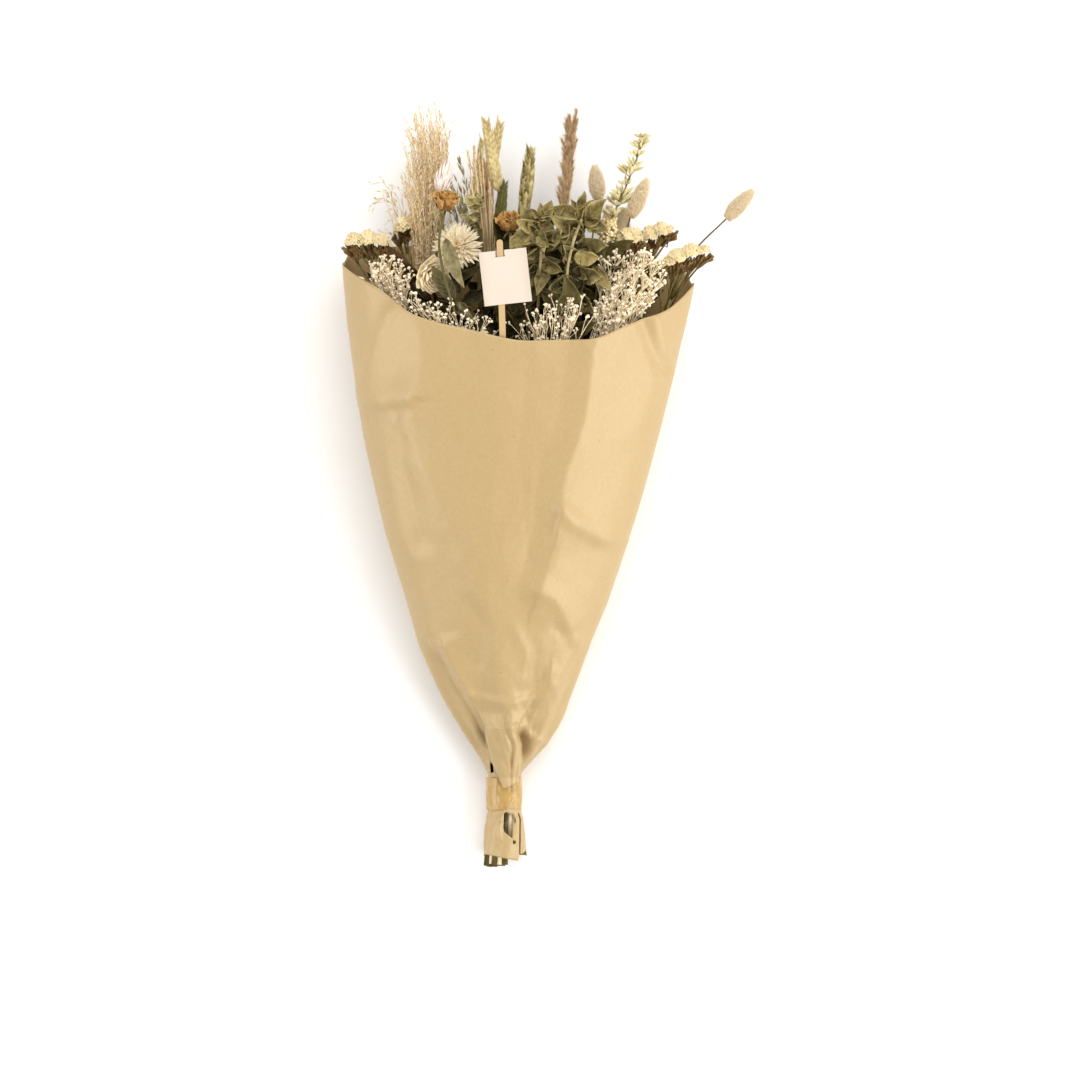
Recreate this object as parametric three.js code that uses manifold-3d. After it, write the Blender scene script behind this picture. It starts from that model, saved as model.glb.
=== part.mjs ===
// A mixed bouquet of dried flowers in a kraft paper wrap, lying on its back.
// Millimetres, +Z up. The bouquet lies along Y: its flowers are towards +Y and its cut stems
// towards -Y, and +X is to the right for someone who looks down on it. The origin is on the
// surface, under the flat back of the wrap.

import * as THREE from "three";
import { mergeVertices } from "three/addons/utils/BufferGeometryUtils.js";
import Module from "manifold-3d";

const wasm = await Module();
wasm.setup();

// ---------------------------------------------------------------- driving dimensions

const GAP = 0.3; // clearance between two pieces that touch on the real bouquet

const NECK = { x: -6.45, z: 15.5, bottom: -298, top: -266 }; // where the paper grips the stems
const STEM_PITCH = 3.1; // spacing of the packed stems in the neck
const STEM_RINGS = 3; // rings of stems round the middle one
const FAN_BEND = 30; // how softly a stem leaves the neck

const PAPER_THICKNESS = 0.9;
const PAPER_STEPS = 30; // facets round the wrap
const FLAT_ROWS_TOP = -30; // below this height the rows of the wrap run level

// Sections of the wrap: height, left edge, right edge, back, front, squareness of the back
const WRAP_SECTIONS = [
  [-334, -22.6, 11.4, 0, 31, 2],
  [-318, -22.4, 10.4, 0, 30.6, 2],
  [-304, -21.6, 8.4, 1, 30, 2],
  [-297, -19.8, 6.9, 2.1, 28.9, 2],
  [-270, -19.8, 6.9, 2.1, 28.9, 2],
  [-258, -24.5, 15.5, 1.2, 34, 2],
  [-246, -32, 26, 0, 40, 2.1],
  [-222, -46.4, 40.8, -2.5, 50, 2.3],
  [-198, -60, 49.6, -4, 60, 2.5],
  [-163, -74.8, 62.9, -5, 73, 2.7],
  [-127, -85.1, 77.2, -5, 84, 2.8],
  [-56, -105.8, 100.3, -5, 103, 2.8],
  [28, -122.5, 123.3, -5, 119, 2.8],
  [76, -128.9, 134.5, -5, 125, 2.8],
  [123, -133.7, 144, -5, 130, 2.8],
  [165, -136, 150, -5, 133, 2.8],
];

// Height of the wrap's upper edge by the angle round it: 0 right, 90 front, 180 left, 270 back
const RIM = [
  [0, 124],
  [32, 100],
  [50, 89],
  [66, 78],
  [84, 77],
  [105, 84],
  [125, 96],
  [147, 122],
  [165, 135],
  [180, 141.6],
  [200, 152],
  [235, 157],
  [270, 157],
  [310, 149],
  [340, 134],
  [360, 124],
];

// Creases on the front of the wrap: from x, y to x, y, how high it stands, how wide it fades
const CREASES = [
  [78, 82, 38, -60, 4.5, 28], // long ridge right of the middle
  [38, -60, 62, -90, 3, 20], // its turn to the right
  [98, 90, 124, 46, -3, 18], // dent under the right corner
  [-93, 112, -64, 58, 4, 24], // right side of the upper left bulge
  [-123, 34, -74, 26, -4.5, 20], // fold under that bulge
  [-94, 24, -56, -95, 3.6, 24], // fold running down from it
  [-66, -167, -20, -238, -5, 14], // deep fold beside the front flap
  [-46, -182, 26, -188, 2, 12], // cross creases over the gathered end
  [34, -172, 38, -196, 2, 12],
  [-24, -206, 18, -202, 2, 10],
  [10, -226, 6, -250, -4, 9], // fold on the flap's other side
];
const PLEATS = 9; // gathers round the lower end
const PLEAT_DEPTH = 2.2;

const TAPE = { inner: 13.75, thickness: 0.6, bottom: -296.5, top: -271, sides: 20 };
const BAND = { inner: 11.1, thickness: 1, bottom: -279, top: -273, sides: 16 };

const STICK = { width: 5, thickness: 1.6, x: -3.2, foot: -40, top: 154.4, tipX: -9.2 };
const STICK_Z = { foot: 104.7, top: 135.3 };
const CARD = { width: 37.3, height: 42.3, thickness: 0.7, turn: 6.5, x: -4.7, y: 125.6 };
const CARD_SLIT = { x: -2.1, drop: 5.2, width: 7 };

const COLOUR = {
  kraft: 0xd3b57d,
  tape: 0xc99a5b,
  band: 0x8a6a3c,
  card: 0xfbeee2,
  stick: 0xe3c79b,
  greenStem: 0x7f7a45,
  paleStem: 0xb9a878,
  leaf: 0x73723f,
  paleLeaf: 0x9a9a6c,
  brownLeaf: 0x5a2f10,
  plume: 0xd9b27c,
  straw: 0xcaa878,
  wheat: 0xcdb878,
  greenWheat: 0x6f6d33,
  brownPlume: 0x8e6a4e,
  lagurus: 0xd8c19a,
  pod: 0xc8b878,
  yarrow: 0xf0dcae,
  statice: 0xf6e9b4,
  calyx: 0x5b4020,
  strawflower: 0xfbeacb,
  pinkStrawflower: 0xf6e4da,
  rose: 0xc1852f,
  gypsophila: 0xf4e4c8,
};

// ---------------------------------------------------------------- the plants' places
// Each plant: name, foot of its head, tip of its head, stem radius at the neck and at the head,
// and the places its stem passes on its way from the fan of stems to the head, if it bends.

const plant = (name, foot, tip, thick = 1.2, thin = 0.8, bends = []) => ({
  name,
  foot: new THREE.Vector3(...foot),
  tip: new THREE.Vector3(...tip),
  bends: [...bends, foot].map((place) => new THREE.Vector3(...place)),
  thick,
  thin,
});

const WHEAT = [
  plant("wheat_1", [-10.3, 197, 66], [-21.5, 257, 72], 1.2, 1),
  plant("wheat_2", [-20.7, 200, 46], [-8.8, 257.4, 46], 1.2, 1),
  plant("wheat_3", [-29.5, 185, 58], [-23.9, 242.7, 52], 1.2, 1),
  plant("green_wheat", [-11.9, 155, 45], [-6.4, 209, 47], 1.2, 1),
  plant("wheat_5", [8.8, 178, 46], [15.1, 236.3, 46], 1.2, 1),
];
const LAGURUS_3_BENDS = [
  [128, 120, 54],
  [143, 148, 56],
];
const LAGURUS = [
  plant("lagurus_1", [69.2, 191.8, 40], [66, 221.2, 40], 1.15, 0.7),
  plant("lagurus_2", [93.9, 176.7, 62], [108.2, 208.5, 64], 1.15, 0.7),
  plant("lagurus_3", [170.5, 176.2, 54], [192.6, 199.7, 58], 1.15, 0.7, LAGURUS_3_BENDS),
  plant("lagurus_4", [79.6, 160.7, 26], [78, 190, 27], 1.15, 0.7),
  plant("lagurus_5", [85.6, 154.5, 44], [89.5, 186.5, 46], 1.15, 0.7),
];
const STATICE = [
  { ...plant("statice_1", [-104, 128, 62], [-113.8, 163, 64], 1.4, 1.2), span: 37, lean: -0.05 },
  { ...plant("statice_2", [-84, 150, 34], [-85.5, 176, 34], 1.4, 1.2), span: 15, lean: 0.3 },
  { ...plant("statice_3", [86, 130, 66], [93.5, 165, 72], 1.4, 1.2), span: 20, lean: 0.1 },
  { ...plant("statice_4", [108, 138, 46], [114.5, 170, 46], 1.4, 1.2), span: 29, lean: 0.35 },
  { ...plant("statice_5", [126, 112, 74], [137, 150, 82], 1.4, 1.2), span: 39, lean: 0.3 },
];
const STRAWFLOWERS = [
  { ...plant("strawflower_1", [-42.5, 150, 75], [-43.5, 154, 86], 1.3, 1.1), reach: 20.5 },
  { ...plant("strawflower_2", [-69, 132, 89], [-62, 129, 96], 1.3, 1.1), reach: 16.5 },
  { ...plant("strawflower_3", [-57.5, 192, 71], [-52.5, 214, 73], 1.3, 1.1), reach: 8 },
];
const ROSE_1_BENDS = [
  [-45, 100, 106],
  [-53, 128, 111],
  [-57, 152, 109],
];
const ROSES = [
  plant("rose_1", [-52.5, 180, 93], [-51, 194, 99], 1.4, 1.1, ROSE_1_BENDS),
  plant("rose_2", [-1, 164, 84], [-2.4, 178, 90], 1.4, 1.1),
];
const PLUME = plant("tan_plume", [-76, 112, 52], [-64, 263, 50], 1.4, 1.4);
const FINE_GRASS = plant("fine_grass", [-84, 120, 20], [-106.6, 222, 22], 1.2, 0.8);
const STRAW = plant("straw_bunch", [-22, 110, 28], [-28, 232, 28], 1.4, 1.2);
const BROWN_PLUME = plant("brown_plume", [41, 172, 50], [49.3, 254.5, 50], 1.3, 1.1);
const LARKSPUR = plant("larkspur", [72, 158, 64], [106.6, 243.5, 66], 1.3, 1);
const YARROW = plant("yarrow", [74, 152, 84], [77.2, 174, 86], 1.3, 1);
const GYPSOPHILA = [
  { ...plant("gypsophila_1", [-70, 84, 86], [-95, 128, 90]), spread: [62, 14], lean: -0.72 },
  { ...plant("gypsophila_2", [-30, 62, 106], [-40, 100, 112]), spread: [52, 8], lean: -0.3 },
  { ...plant("gypsophila_3", [28, 56, 106], [36, 108, 113]), spread: [48, 8], lean: 0.2 },
  { ...plant("gypsophila_4", [58, 66, 98], [108, 142, 100]), spread: [46, 16], lean: -0.6 },
];
const LEAFY = [
  { ...plant("leafy_stem_1", [22, 128, 92], [22, 180, 94], 1.4, 1.3), leaves: 9, size: 27 },
  { ...plant("leafy_stem_2", [46, 112, 100], [58, 186, 96], 1.4, 1.4), leaves: 10, size: 27 },
  { ...plant("leafy_stem_3", [54, 84, 56], [48, 142, 62], 1.4, 1.2), leaves: 8, size: 22 },
  { ...plant("leafy_stem_4", [12, 60, 62], [12, 128, 58], 1.4, 1.2), leaves: 8, size: 25 },
  { ...plant("pale_leafy_stem", [-27, 158, 62], [-25, 194, 66], 1.3, 1), leaves: 8, size: 13 },
];
const BROWN_LEAF = plant("brown_leaf", [-66, 76, 56], [-86, 158, 62], 1.3, 1.2);

const ALL_PLANTS = [
  ...WHEAT,
  ...LAGURUS,
  ...STATICE,
  ...STRAWFLOWERS,
  ...ROSES,
  ...GYPSOPHILA,
  ...LEAFY,
  PLUME,
  FINE_GRASS,
  STRAW,
  BROWN_PLUME,
  LARKSPUR,
  YARROW,
  BROWN_LEAF,
];

// ---------------------------------------------------------------- small tools

const FRONT = new THREE.Vector3(0, 0, 1);
const UP = new THREE.Vector3(0, 1, 0);
const v3 = (x, y, z) => new THREE.Vector3(x, y, z);
const radians = THREE.MathUtils.degToRad;

// Repeatable random numbers from 0 to 1
function draws(seed) {
  let state = seed;
  return () => {
    state = (Math.imul(state, 1664525) + 1013904223) >>> 0;
    return state / 4294967296;
  };
}

// Smooth curve through a table, without overshoot: the first column is the place, column is read
function through(table, place, column) {
  const last = table.length - 1;
  if (place <= table[0][0]) return table[0][column];
  if (place >= table[last][0]) return table[last][column];
  const i = table.findIndex((row) => row[0] > place) - 1;
  const rise = (k) => (table[k + 1][column] - table[k][column]) / (table[k + 1][0] - table[k][0]);
  const slope = (k) => {
    if (k <= 0 || k >= last || rise(k - 1) * rise(k) <= 0) return 0;
    return (2 * rise(k - 1) * rise(k)) / (rise(k - 1) + rise(k));
  };
  const span = table[i + 1][0] - table[i][0];
  const t = (place - table[i][0]) / span;
  const [t2, t3] = [t * t, t * t * t];
  return (
    table[i][column] * (2 * t3 - 3 * t2 + 1) +
    slope(i) * span * (t3 - 2 * t2 + t) +
    table[i + 1][column] * (3 * t2 - 2 * t3) +
    slope(i + 1) * span * (t3 - t2)
  );
}

// Moves every vertex of a geometry by a rule
function reshape(geometry, rule) {
  const place = geometry.getAttribute("position");
  const point = new THREE.Vector3();
  for (let i = 0; i < place.count; i++) {
    point.copy(rule(point.fromBufferAttribute(place, i)));
    place.setXYZ(i, point.x, point.y, point.z);
  }
  return geometry;
}

// Only places, with shared vertices merged and collapsed faces dropped
function welded(geometry) {
  const bare = new THREE.BufferGeometry();
  bare.setAttribute("position", geometry.getAttribute("position"));
  bare.setIndex(geometry.index);
  const merged = mergeVertices(bare, 1e-3);
  const faces = [];
  const index = merged.index.array;
  for (let i = 0; i < index.length; i += 3) {
    const [a, b, c] = [index[i], index[i + 1], index[i + 2]];
    if (a !== b && b !== c && c !== a) faces.push(a, b, c);
  }
  merged.setIndex(faces);
  return merged;
}

function solid(geometry) {
  const merged = welded(geometry);
  const made = new wasm.Manifold(
    new wasm.Mesh({
      numProp: 3,
      vertProperties: new Float32Array(merged.getAttribute("position").array),
      triVerts: new Uint32Array(merged.index.array),
    }),
  );
  if (made.volume() <= 0) throw new Error("a solid is inside out");
  return made;
}

const fuse = (solids) => wasm.Manifold.union(solids);

// The largest connected body of a solid: loose scraps are dropped
function largest(body) {
  return body.decompose().reduce((a, b) => (b.volume() > a.volume() ? b : a));
}

// A solid without the slivers that its joins leave
const eased = (body) => largest(body.simplify(0.12));

// Frame whose Y runs along a direction and whose Z faces the viewer as far as it can
function pose(origin, direction, facing = FRONT) {
  const y = direction.clone().normalize();
  const x = y.clone().cross(facing).normalize();
  const z = x.clone().cross(y);
  return new THREE.Matrix4().makeBasis(x, y, z).setPosition(origin);
}

const placed = (body, matrix) => body.transform(matrix.elements);

// A closed solid of even thickness from an open sheet
function thicken(sheet, thickness) {
  const flat = welded(sheet);
  flat.computeVertexNormals();
  const place = flat.getAttribute("position");
  const normal = flat.getAttribute("normal");
  const count = place.count;
  const points = new Float32Array(count * 6);
  for (let i = 0; i < count; i++) {
    for (let k = 0; k < 3; k++) {
      const half = (normal.getComponent(i, k) * thickness) / 2;
      points[i * 3 + k] = place.getComponent(i, k) + half;
      points[(i + count) * 3 + k] = place.getComponent(i, k) - half;
    }
  }
  const top = flat.index.array;
  const edges = new Set();
  const faces = [];
  for (let i = 0; i < top.length; i += 3) {
    const [a, b, c] = [top[i], top[i + 1], top[i + 2]];
    faces.push(a, b, c, c + count, b + count, a + count);
    for (const [from, to] of [
      [a, b],
      [b, c],
      [c, a],
    ])
      edges.add(from * count + to);
  }
  for (const edge of edges) {
    const [from, to] = [Math.floor(edge / count), edge % count];
    if (edges.has(to * count + from)) continue;
    faces.push(from, from + count, to + count, from, to + count, to);
  }
  const shell = new THREE.BufferGeometry();
  shell.setAttribute("position", new THREE.BufferAttribute(points, 3));
  shell.setIndex(faces);
  return solid(shell);
}

// A leaf or petal along +Y that faces +Z. Its outline gives the half width from 0 to 1 along it.
function blade({ length, width, outline, curl = 0, fold = 0, wave = 0, thickness = 0.7 }, cuts = [2, 3]) {
  const sheet = reshape(new THREE.PlaneGeometry(1, 1, ...cuts), ({ x, y }) => {
    const along = y + 0.5;
    const half = (width / 2) * outline(along);
    const side = 2 * x * half;
    const turn = curl * along;
    const reach = curl ? (length * Math.sin(turn)) / curl : length * along;
    const rise = curl ? (length * (1 - Math.cos(turn))) / curl : 0;
    const lift = Math.abs(side) * fold + wave * Math.sin(along * 7 + x * 3) * Math.abs(2 * x);
    return v3(side, reach - lift * Math.sin(turn), rise + lift * Math.cos(turn));
  });
  return thicken(sheet, thickness);
}

const ovate = (along) => Math.sin(Math.PI * Math.min(1, along ** 0.75)) ** 0.8;
const strap = (along) => (along > 0.999 ? 0 : 0.45 + 0.55 * Math.sin(Math.PI * Math.min(1, along * 0.62)));

// A round bar along a list of points, with a radius at each
function bar(points, radii, sides = 4) {
  const curve = points.length - 1;
  const rod = new THREE.CylinderGeometry(1, 1, 1, sides, curve);
  return solid(
    reshape(rod, ({ x, y, z }) => {
      const i = Math.round((y + 0.5) * curve);
      const before = points[Math.max(0, i - 1)];
      const after = points[Math.min(curve, i + 1)];
      const along = after.clone().sub(before).normalize();
      const facing = Math.abs(along.z) > 0.9 ? UP : FRONT;
      const across = along.clone().cross(facing).normalize();
      const out = across.clone().cross(along);
      return points[i]
        .clone()
        .addScaledVector(across, x * radii[i])
        .addScaledVector(out, z * radii[i]);
    }),
  );
}

// A twig that starts at a point and ends in a pointed bud
function club(from, to, radius, bud, budLength, sides = 3) {
  const length = from.distanceTo(to);
  const places = [0, 1.6 / length, 1 - budLength / length, 1 - (0.5 * budLength) / length, 1];
  return bar(
    places.map((t) => from.clone().lerp(to, t)),
    [0, radius, radius * 0.85, bud, 0],
    sides,
  );
}

// A slim double cone, as a seed, pod, bud or spikelet, from its foot to its tip
const seed = (foot, tip, radius, sides = 3, belly = 0.4) =>
  bar([foot, foot.clone().lerp(tip, belly), tip], [0, radius, 0], sides);

// ---------------------------------------------------------------- the fan of stems

// Every stem leaves the neck by the same rule, so packed stems never meet on the way up
function fanOut(height) {
  const rise = Math.max(0, height - NECK.top);
  return Math.hypot(rise, FAN_BEND) - FAN_BEND;
}

function hexPlaces() {
  const places = [];
  for (let q = -STEM_RINGS; q <= STEM_RINGS; q++)
    for (let r = -STEM_RINGS; r <= STEM_RINGS; r++)
      if (Math.abs(q + r) <= STEM_RINGS)
        places.push([STEM_PITCH * (q + r / 2), STEM_PITCH * r * Math.sqrt(0.75)]);
  return places.sort((a, b) => Math.hypot(...a) - Math.hypot(...b));
}

// Gives each plant its place in the neck, so that stems keep their order from neck to head
function giveSlots(plants) {
  const places = hexPlaces().slice(0, plants.length);
  const leans = plants.map(({ bends: [end] }) => {
    const fan = fanOut(end.y);
    return [(end.x - NECK.x) / fan, (end.z - NECK.z) / fan];
  });
  const match = (i, j) => leans[i][0] * places[j][0] + leans[i][1] * places[j][1];
  const order = plants.map((_, i) => i);
  for (let changed = true; changed; ) {
    changed = false;
    for (let i = 0; i < order.length; i++)
      for (let j = i + 1; j < order.length; j++) {
        const now = match(i, order[i]) + match(j, order[j]);
        if (match(i, order[j]) + match(j, order[i]) > now + 1e-9) {
          [order[i], order[j]] = [order[j], order[i]];
          changed = true;
        }
      }
  }
  plants.forEach((p, i) => {
    p.slot = places[order[i]];
  });
}

// Where a plant's stem is at a height
function stemAt(p, height) {
  const [end] = p.bends;
  const share = fanOut(height) / fanOut(end.y);
  const x = NECK.x + p.slot[0];
  const z = NECK.z + p.slot[1];
  return v3(x + (end.x - x) * share, height, z + (end.z - z) * share);
}

// Stems in the front left of the neck reach past the paper, the others are cut inside it
function cutHeight(p) {
  const long = p.slot[0] < 3 && p.slot[1] > -1;
  return (long ? -342 : -322) + (3 * p.slot[0] + 5 * p.slot[1]) % 3.1;
}

// The stem from its cut end to the foot of the head, or on to further points
function stem(p, onward = [], sides = 4) {
  const fromNeck = [0, 14, 40, 130].map((d) => NECK.top + d);
  const points = [cutHeight(p), ...fromNeck].map((y) => stemAt(p, y));
  const all = [...points, ...p.bends, ...onward];
  const radii = all.map((_, i) => THREE.MathUtils.lerp(p.thick, p.thin, i / (all.length - 1)));
  return bar(all, radii, sides);
}

// ---------------------------------------------------------------- wrap, tape and band

function creaseLift(x, y) {
  let lift = 0;
  for (const [x0, y0, x1, y1, height, reach] of CREASES) {
    const [dx, dy] = [x1 - x0, y1 - y0];
    const t = THREE.MathUtils.clamp(((x - x0) * dx + (y - y0) * dy) / (dx * dx + dy * dy), 0, 1);
    const away = Math.hypot(x - x0 - t * dx, y - y0 - t * dy);
    lift += height * Math.max(0, 1 - away / reach);
  }
  return lift;
}

// A point of the wrap's section at a height, before its folds
function sectionPoint(angle, height) {
  const [left, right, back, front, square] = [1, 2, 3, 4, 5].map((c) =>
    through(WRAP_SECTIONS, height, c),
  );
  const [c, s] = [Math.cos(angle), Math.sin(angle)];
  const power = 2 / (s < 0 ? square : 2);
  const x = (left + right) / 2 + ((right - left) / 2) * Math.sign(c) * Math.abs(c) ** power;
  const z = (back + front) / 2 + ((front - back) / 2) * Math.sign(s) * Math.abs(s) ** power;
  return [x, z];
}

// A point of the wrap, at a depth under its outer face
function wrapPoint(angle, height, depth) {
  const step = 0.02;
  const [x, z] = sectionPoint(angle, height);
  const [xa, za] = sectionPoint(angle - step, height);
  const [xb, zb] = sectionPoint(angle + step, height);
  const size = Math.hypot(xb - xa, zb - za);
  const [nx, nz] = [(zb - za) / size, -(xb - xa) / size];
  const gathered = THREE.MathUtils.smoothstep(height, NECK.top - 4, NECK.top + 30);
  const lower = 1 - THREE.MathUtils.smoothstep(height, -220, -130);
  const pleat = PLEAT_DEPTH * gathered * lower * Math.sin(PLEATS * angle + Math.sin(2 * angle));
  const inFront = Math.max(0, Math.sin(angle)) ** 0.7;
  const fold = (creaseLift(x, height) * inFront + pleat * (0.3 + 0.7 * inFront)) * gathered;
  const out = fold - depth;
  return v3(x + nx * out, height, Math.max(z + nz * out, z > 1 ? 0 : depth));
}

function paperWrap() {
  const level = [-333, -318, -303, -297, -270, -258, -246, -230, -210, -185, -155, -120, -75];
  const upper = [0, 0.33, 0.66, 1];
  const rows = level.length + upper.length;
  const profile = [];
  for (let i = 0; i < rows; i++) profile.push(new THREE.Vector2(2, i));
  for (let i = rows - 1; i >= 0; i--) profile.push(new THREE.Vector2(1, i));
  profile.push(profile[0].clone());
  const grid = new THREE.LatheGeometry(profile, PAPER_STEPS);
  const shell = reshape(grid, ({ x, y, z }) => {
    const angle = (Math.atan2(z, x) + 2 * Math.PI) % (2 * Math.PI);
    const row = Math.round(y);
    const rim = through(RIM, THREE.MathUtils.radToDeg(angle), 1);
    const share = upper[row - level.length];
    const height = row < level.length ? level[row] : FLAT_ROWS_TOP + (rim - FLAT_ROWS_TOP) * share;
    return wrapPoint(angle, height, Math.hypot(x, z) > 1.5 ? 0 : PAPER_THICKNESS);
  });
  return solid(shell);
}

// The torn window in the foot of the wrap, and the slit beside it
function footOpenings() {
  const torn = new THREE.Shape(
    [
      [-6.8, -301],
      [1, -300],
      [3.6, -305],
      [0.8, -309],
      [0.4, -319],
      [-7.2, -312],
    ].map(([x, y]) => new THREE.Vector2(x, y)),
  );
  const slit = new THREE.Shape(
    [
      [4.4, -301],
      [4.9, -301],
      [6, -335],
      [4.9, -335],
    ].map(([x, y]) => new THREE.Vector2(x, y)),
  );
  return fuse(
    [torn, slit].map((shape) =>
      solid(new THREE.ExtrudeGeometry(shape, { depth: 30, bevelEnabled: false })).translate([0, 0, NECK.z]),
    ),
  );
}

// A plain ring round the neck
function ring({ inner, thickness, bottom, top, sides }) {
  const profile = [
    [inner + thickness, bottom],
    [inner + thickness, top],
    [inner, top],
    [inner, bottom],
    [inner + thickness, bottom],
  ].map(([r, y]) => new THREE.Vector2(r, y));
  return solid(new THREE.LatheGeometry(profile, sides)).translate([NECK.x, 0, NECK.z]);
}

// ---------------------------------------------------------------- card on its stick

const stickFrame = () => {
  const foot = v3(STICK.x, STICK.foot, STICK_Z.foot);
  const tip = v3(STICK.tipX, STICK.top, STICK_Z.top);
  return { length: foot.distanceTo(tip), matrix: pose(foot, tip.clone().sub(foot)) };
};

function stick() {
  const { length, matrix } = stickFrame();
  const half = STICK.width / 2;
  const outline = new THREE.Shape();
  outline.moveTo(-half, 0);
  outline.lineTo(half, 0);
  outline.lineTo(half, length - half);
  outline.absarc(0, length - half, half, 0, Math.PI);
  const flat = new THREE.ExtrudeGeometry(outline, {
    depth: STICK.thickness,
    bevelEnabled: false,
    curveSegments: 8,
  });
  return placed(solid(flat.translate(0, 0, -STICK.thickness)), matrix);
}

// The card lies on the stick, and the strip over its slit passes behind the stick
function card() {
  const slope = (STICK_Z.top - STICK_Z.foot) / (STICK.top - STICK.foot);
  const atCard = STICK_Z.foot + slope * (CARD.y - STICK.foot) + GAP;
  const block = (x0, x1, y0, y1, z0, z1) =>
    solid(new THREE.BoxGeometry(x1 - x0, y1 - y0, z1 - z0)).translate([
      (x0 + x1) / 2,
      (y0 + y1) / 2,
      (z0 + z1) / 2,
    ]);
  const [w, h, t] = [CARD.width / 2, CARD.height / 2, CARD.thickness];
  const [left, right] = [CARD_SLIT.x - CARD_SLIT.width / 2, CARD_SLIT.x + CARD_SLIT.width / 2];
  const slitBottom = h - CARD_SLIT.drop;
  const behind = -STICK.thickness - 2 * GAP;
  const plate = block(-w, w, -h, h, 0, t).subtract(block(left, right, slitBottom, h + 1, -1, t + 1));
  const strip = fuse([
    block(left - t, right + t, slitBottom + 1, h, behind - t, behind),
    block(left - t, left, slitBottom + 1, h, behind - t, t),
    block(right, right + t, slitBottom + 1, h, behind - t, t),
  ]);
  const centre = v3(CARD.x, CARD.y, atCard);
  const up = v3(-Math.sin(radians(CARD.turn)), Math.cos(radians(CARD.turn)), slope);
  const facing = v3(0, -slope, 1).normalize();
  return placed(fuse([plate, strip]), pose(centre, up, facing));
}

// ---------------------------------------------------------------- flowers and grasses

// A head of overlapping tufts or scales: every other corner of its mesh stands out and up
function tufted(foot, tip, { width, around, rows, inner, lift, taper }) {
  const length = foot.distanceTo(tip) - GAP;
  const head = reshape(new THREE.SphereGeometry(1, around, rows), ({ x, y, z }) => {
    const row = Math.round((Math.acos(THREE.MathUtils.clamp(y, -1, 1)) / Math.PI) * rows);
    const column = Math.round((Math.atan2(z, x) / (2 * Math.PI)) * around);
    const stands = row > 0 && row < rows && (row + column) % 2 === 0;
    const along = 1 - row / rows;
    const full = Math.sin(Math.PI * THREE.MathUtils.clamp(along, 0.14, 0.93) ** taper) ** 0.5;
    const radius = row > 0 && row < rows ? (width / 2) * full * (stands ? 1 : inner) : 0;
    const size = Math.hypot(x, z) || 1;
    return v3((x / size) * radius, length * along + (stands ? lift : 0), (z / size) * radius);
  });
  const direction = tip.clone().sub(foot).normalize();
  return placed(solid(head), pose(foot.clone().addScaledVector(direction, GAP), direction));
}

const EAR = { width: 10, around: 6, rows: 14, inner: 0.5, lift: 3.5, taper: 0.75 };
const HARE_TAIL = { width: 12.6, around: 8, rows: 9, inner: 0.8, lift: 2, taper: 0.75 };

// An ear of wheat on its stem
function wheat(p) {
  const direction = p.tip.clone().sub(p.foot).normalize();
  const inside = p.foot.clone().addScaledVector(direction, 6);
  return fuse([stem(p, [inside]), tufted(p.foot, p.tip, EAR)]);
}

// A papery flower head that faces along its axis: a low core with rings of petals. The petals of
// a ring stand by turns lower and higher, so that neighbours pass over each other.
function strawflower(p, { rings, width, seedNumber }) {
  const random = draws(seedNumber);
  const axis = p.tip.clone().sub(p.foot).normalize();
  const depth = p.foot.distanceTo(p.tip);
  const core = new THREE.SphereGeometry(1, 9, 4).scale(p.reach * 0.4, depth * 0.5, p.reach * 0.4);
  const parts = [solid(core.translate(0, depth * 0.5, 0))];
  for (const { count, reach, rise, step, curl, from } of rings) {
    for (let i = 0; i < count; i++) {
      const turn = (2 * Math.PI * (i + 0.25 * random())) / count;
      const inner = p.reach * 0.32 * Math.cos(radians(from));
      const petal = blade(
        { length: p.reach * reach - inner, width, outline: strap, curl, thickness: 0.65 },
        [1, 2],
      );
      const side = v3(Math.cos(turn), 0, Math.sin(turn));
      const outward = side.clone().setY(Math.tan(radians(rise + (i % 2) * step)));
      const start = side.multiplyScalar(inner).setY(depth * (0.5 + 0.4 * Math.sin(radians(from))));
      parts.push(placed(petal, pose(start, outward, UP)));
    }
  }
  const facing = Math.abs(axis.z) > 0.8 ? UP.clone().negate() : FRONT;
  const lifted = p.foot.clone().addScaledVector(axis, 2 * GAP);
  return placed(largest(fuse(parts)), pose(lifted, axis, facing));
}

// A dried rosebud: a round core in five cupped petals, each with one edge under the next
function rose(p, seedNumber) {
  const random = draws(seedNumber);
  const length = p.foot.distanceTo(p.tip);
  const core = new THREE.SphereGeometry(1, 7, 5).scale(length * 0.36, length * 0.46, length * 0.36);
  const parts = [solid(core.translate(0, length * 0.46, 0))];
  const profile = [
    [0, 0.16],
    [0.35, 0.5],
    [0.7, 0.56],
    [1, 0.6],
  ];
  for (let i = 0; i < 5; i++) {
    const turn = (2 * Math.PI * i) / 5 + 0.2 * random();
    const height = length * (0.9 + 0.15 * random());
    const sheet = reshape(new THREE.PlaneGeometry(2, 1, 3, 3), ({ x, y }) => {
      const rise = y + 0.5;
      const radius = length * through(profile, rise, 1) * (1 + 0.13 * x);
      const angle = turn - x * radians(44) * (0.55 + 0.45 * Math.sin(Math.PI * Math.min(0.5, rise)));
      return v3(radius * Math.cos(angle), height * rise * (1 - 0.16 * x * x), radius * Math.sin(angle));
    });
    parts.push(thicken(sheet, 0.7));
  }
  const axis = p.tip.clone().sub(p.foot).normalize();
  return placed(largest(fuse(parts)), pose(p.foot.clone().addScaledVector(axis, 2 * GAP), axis));
}

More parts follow.
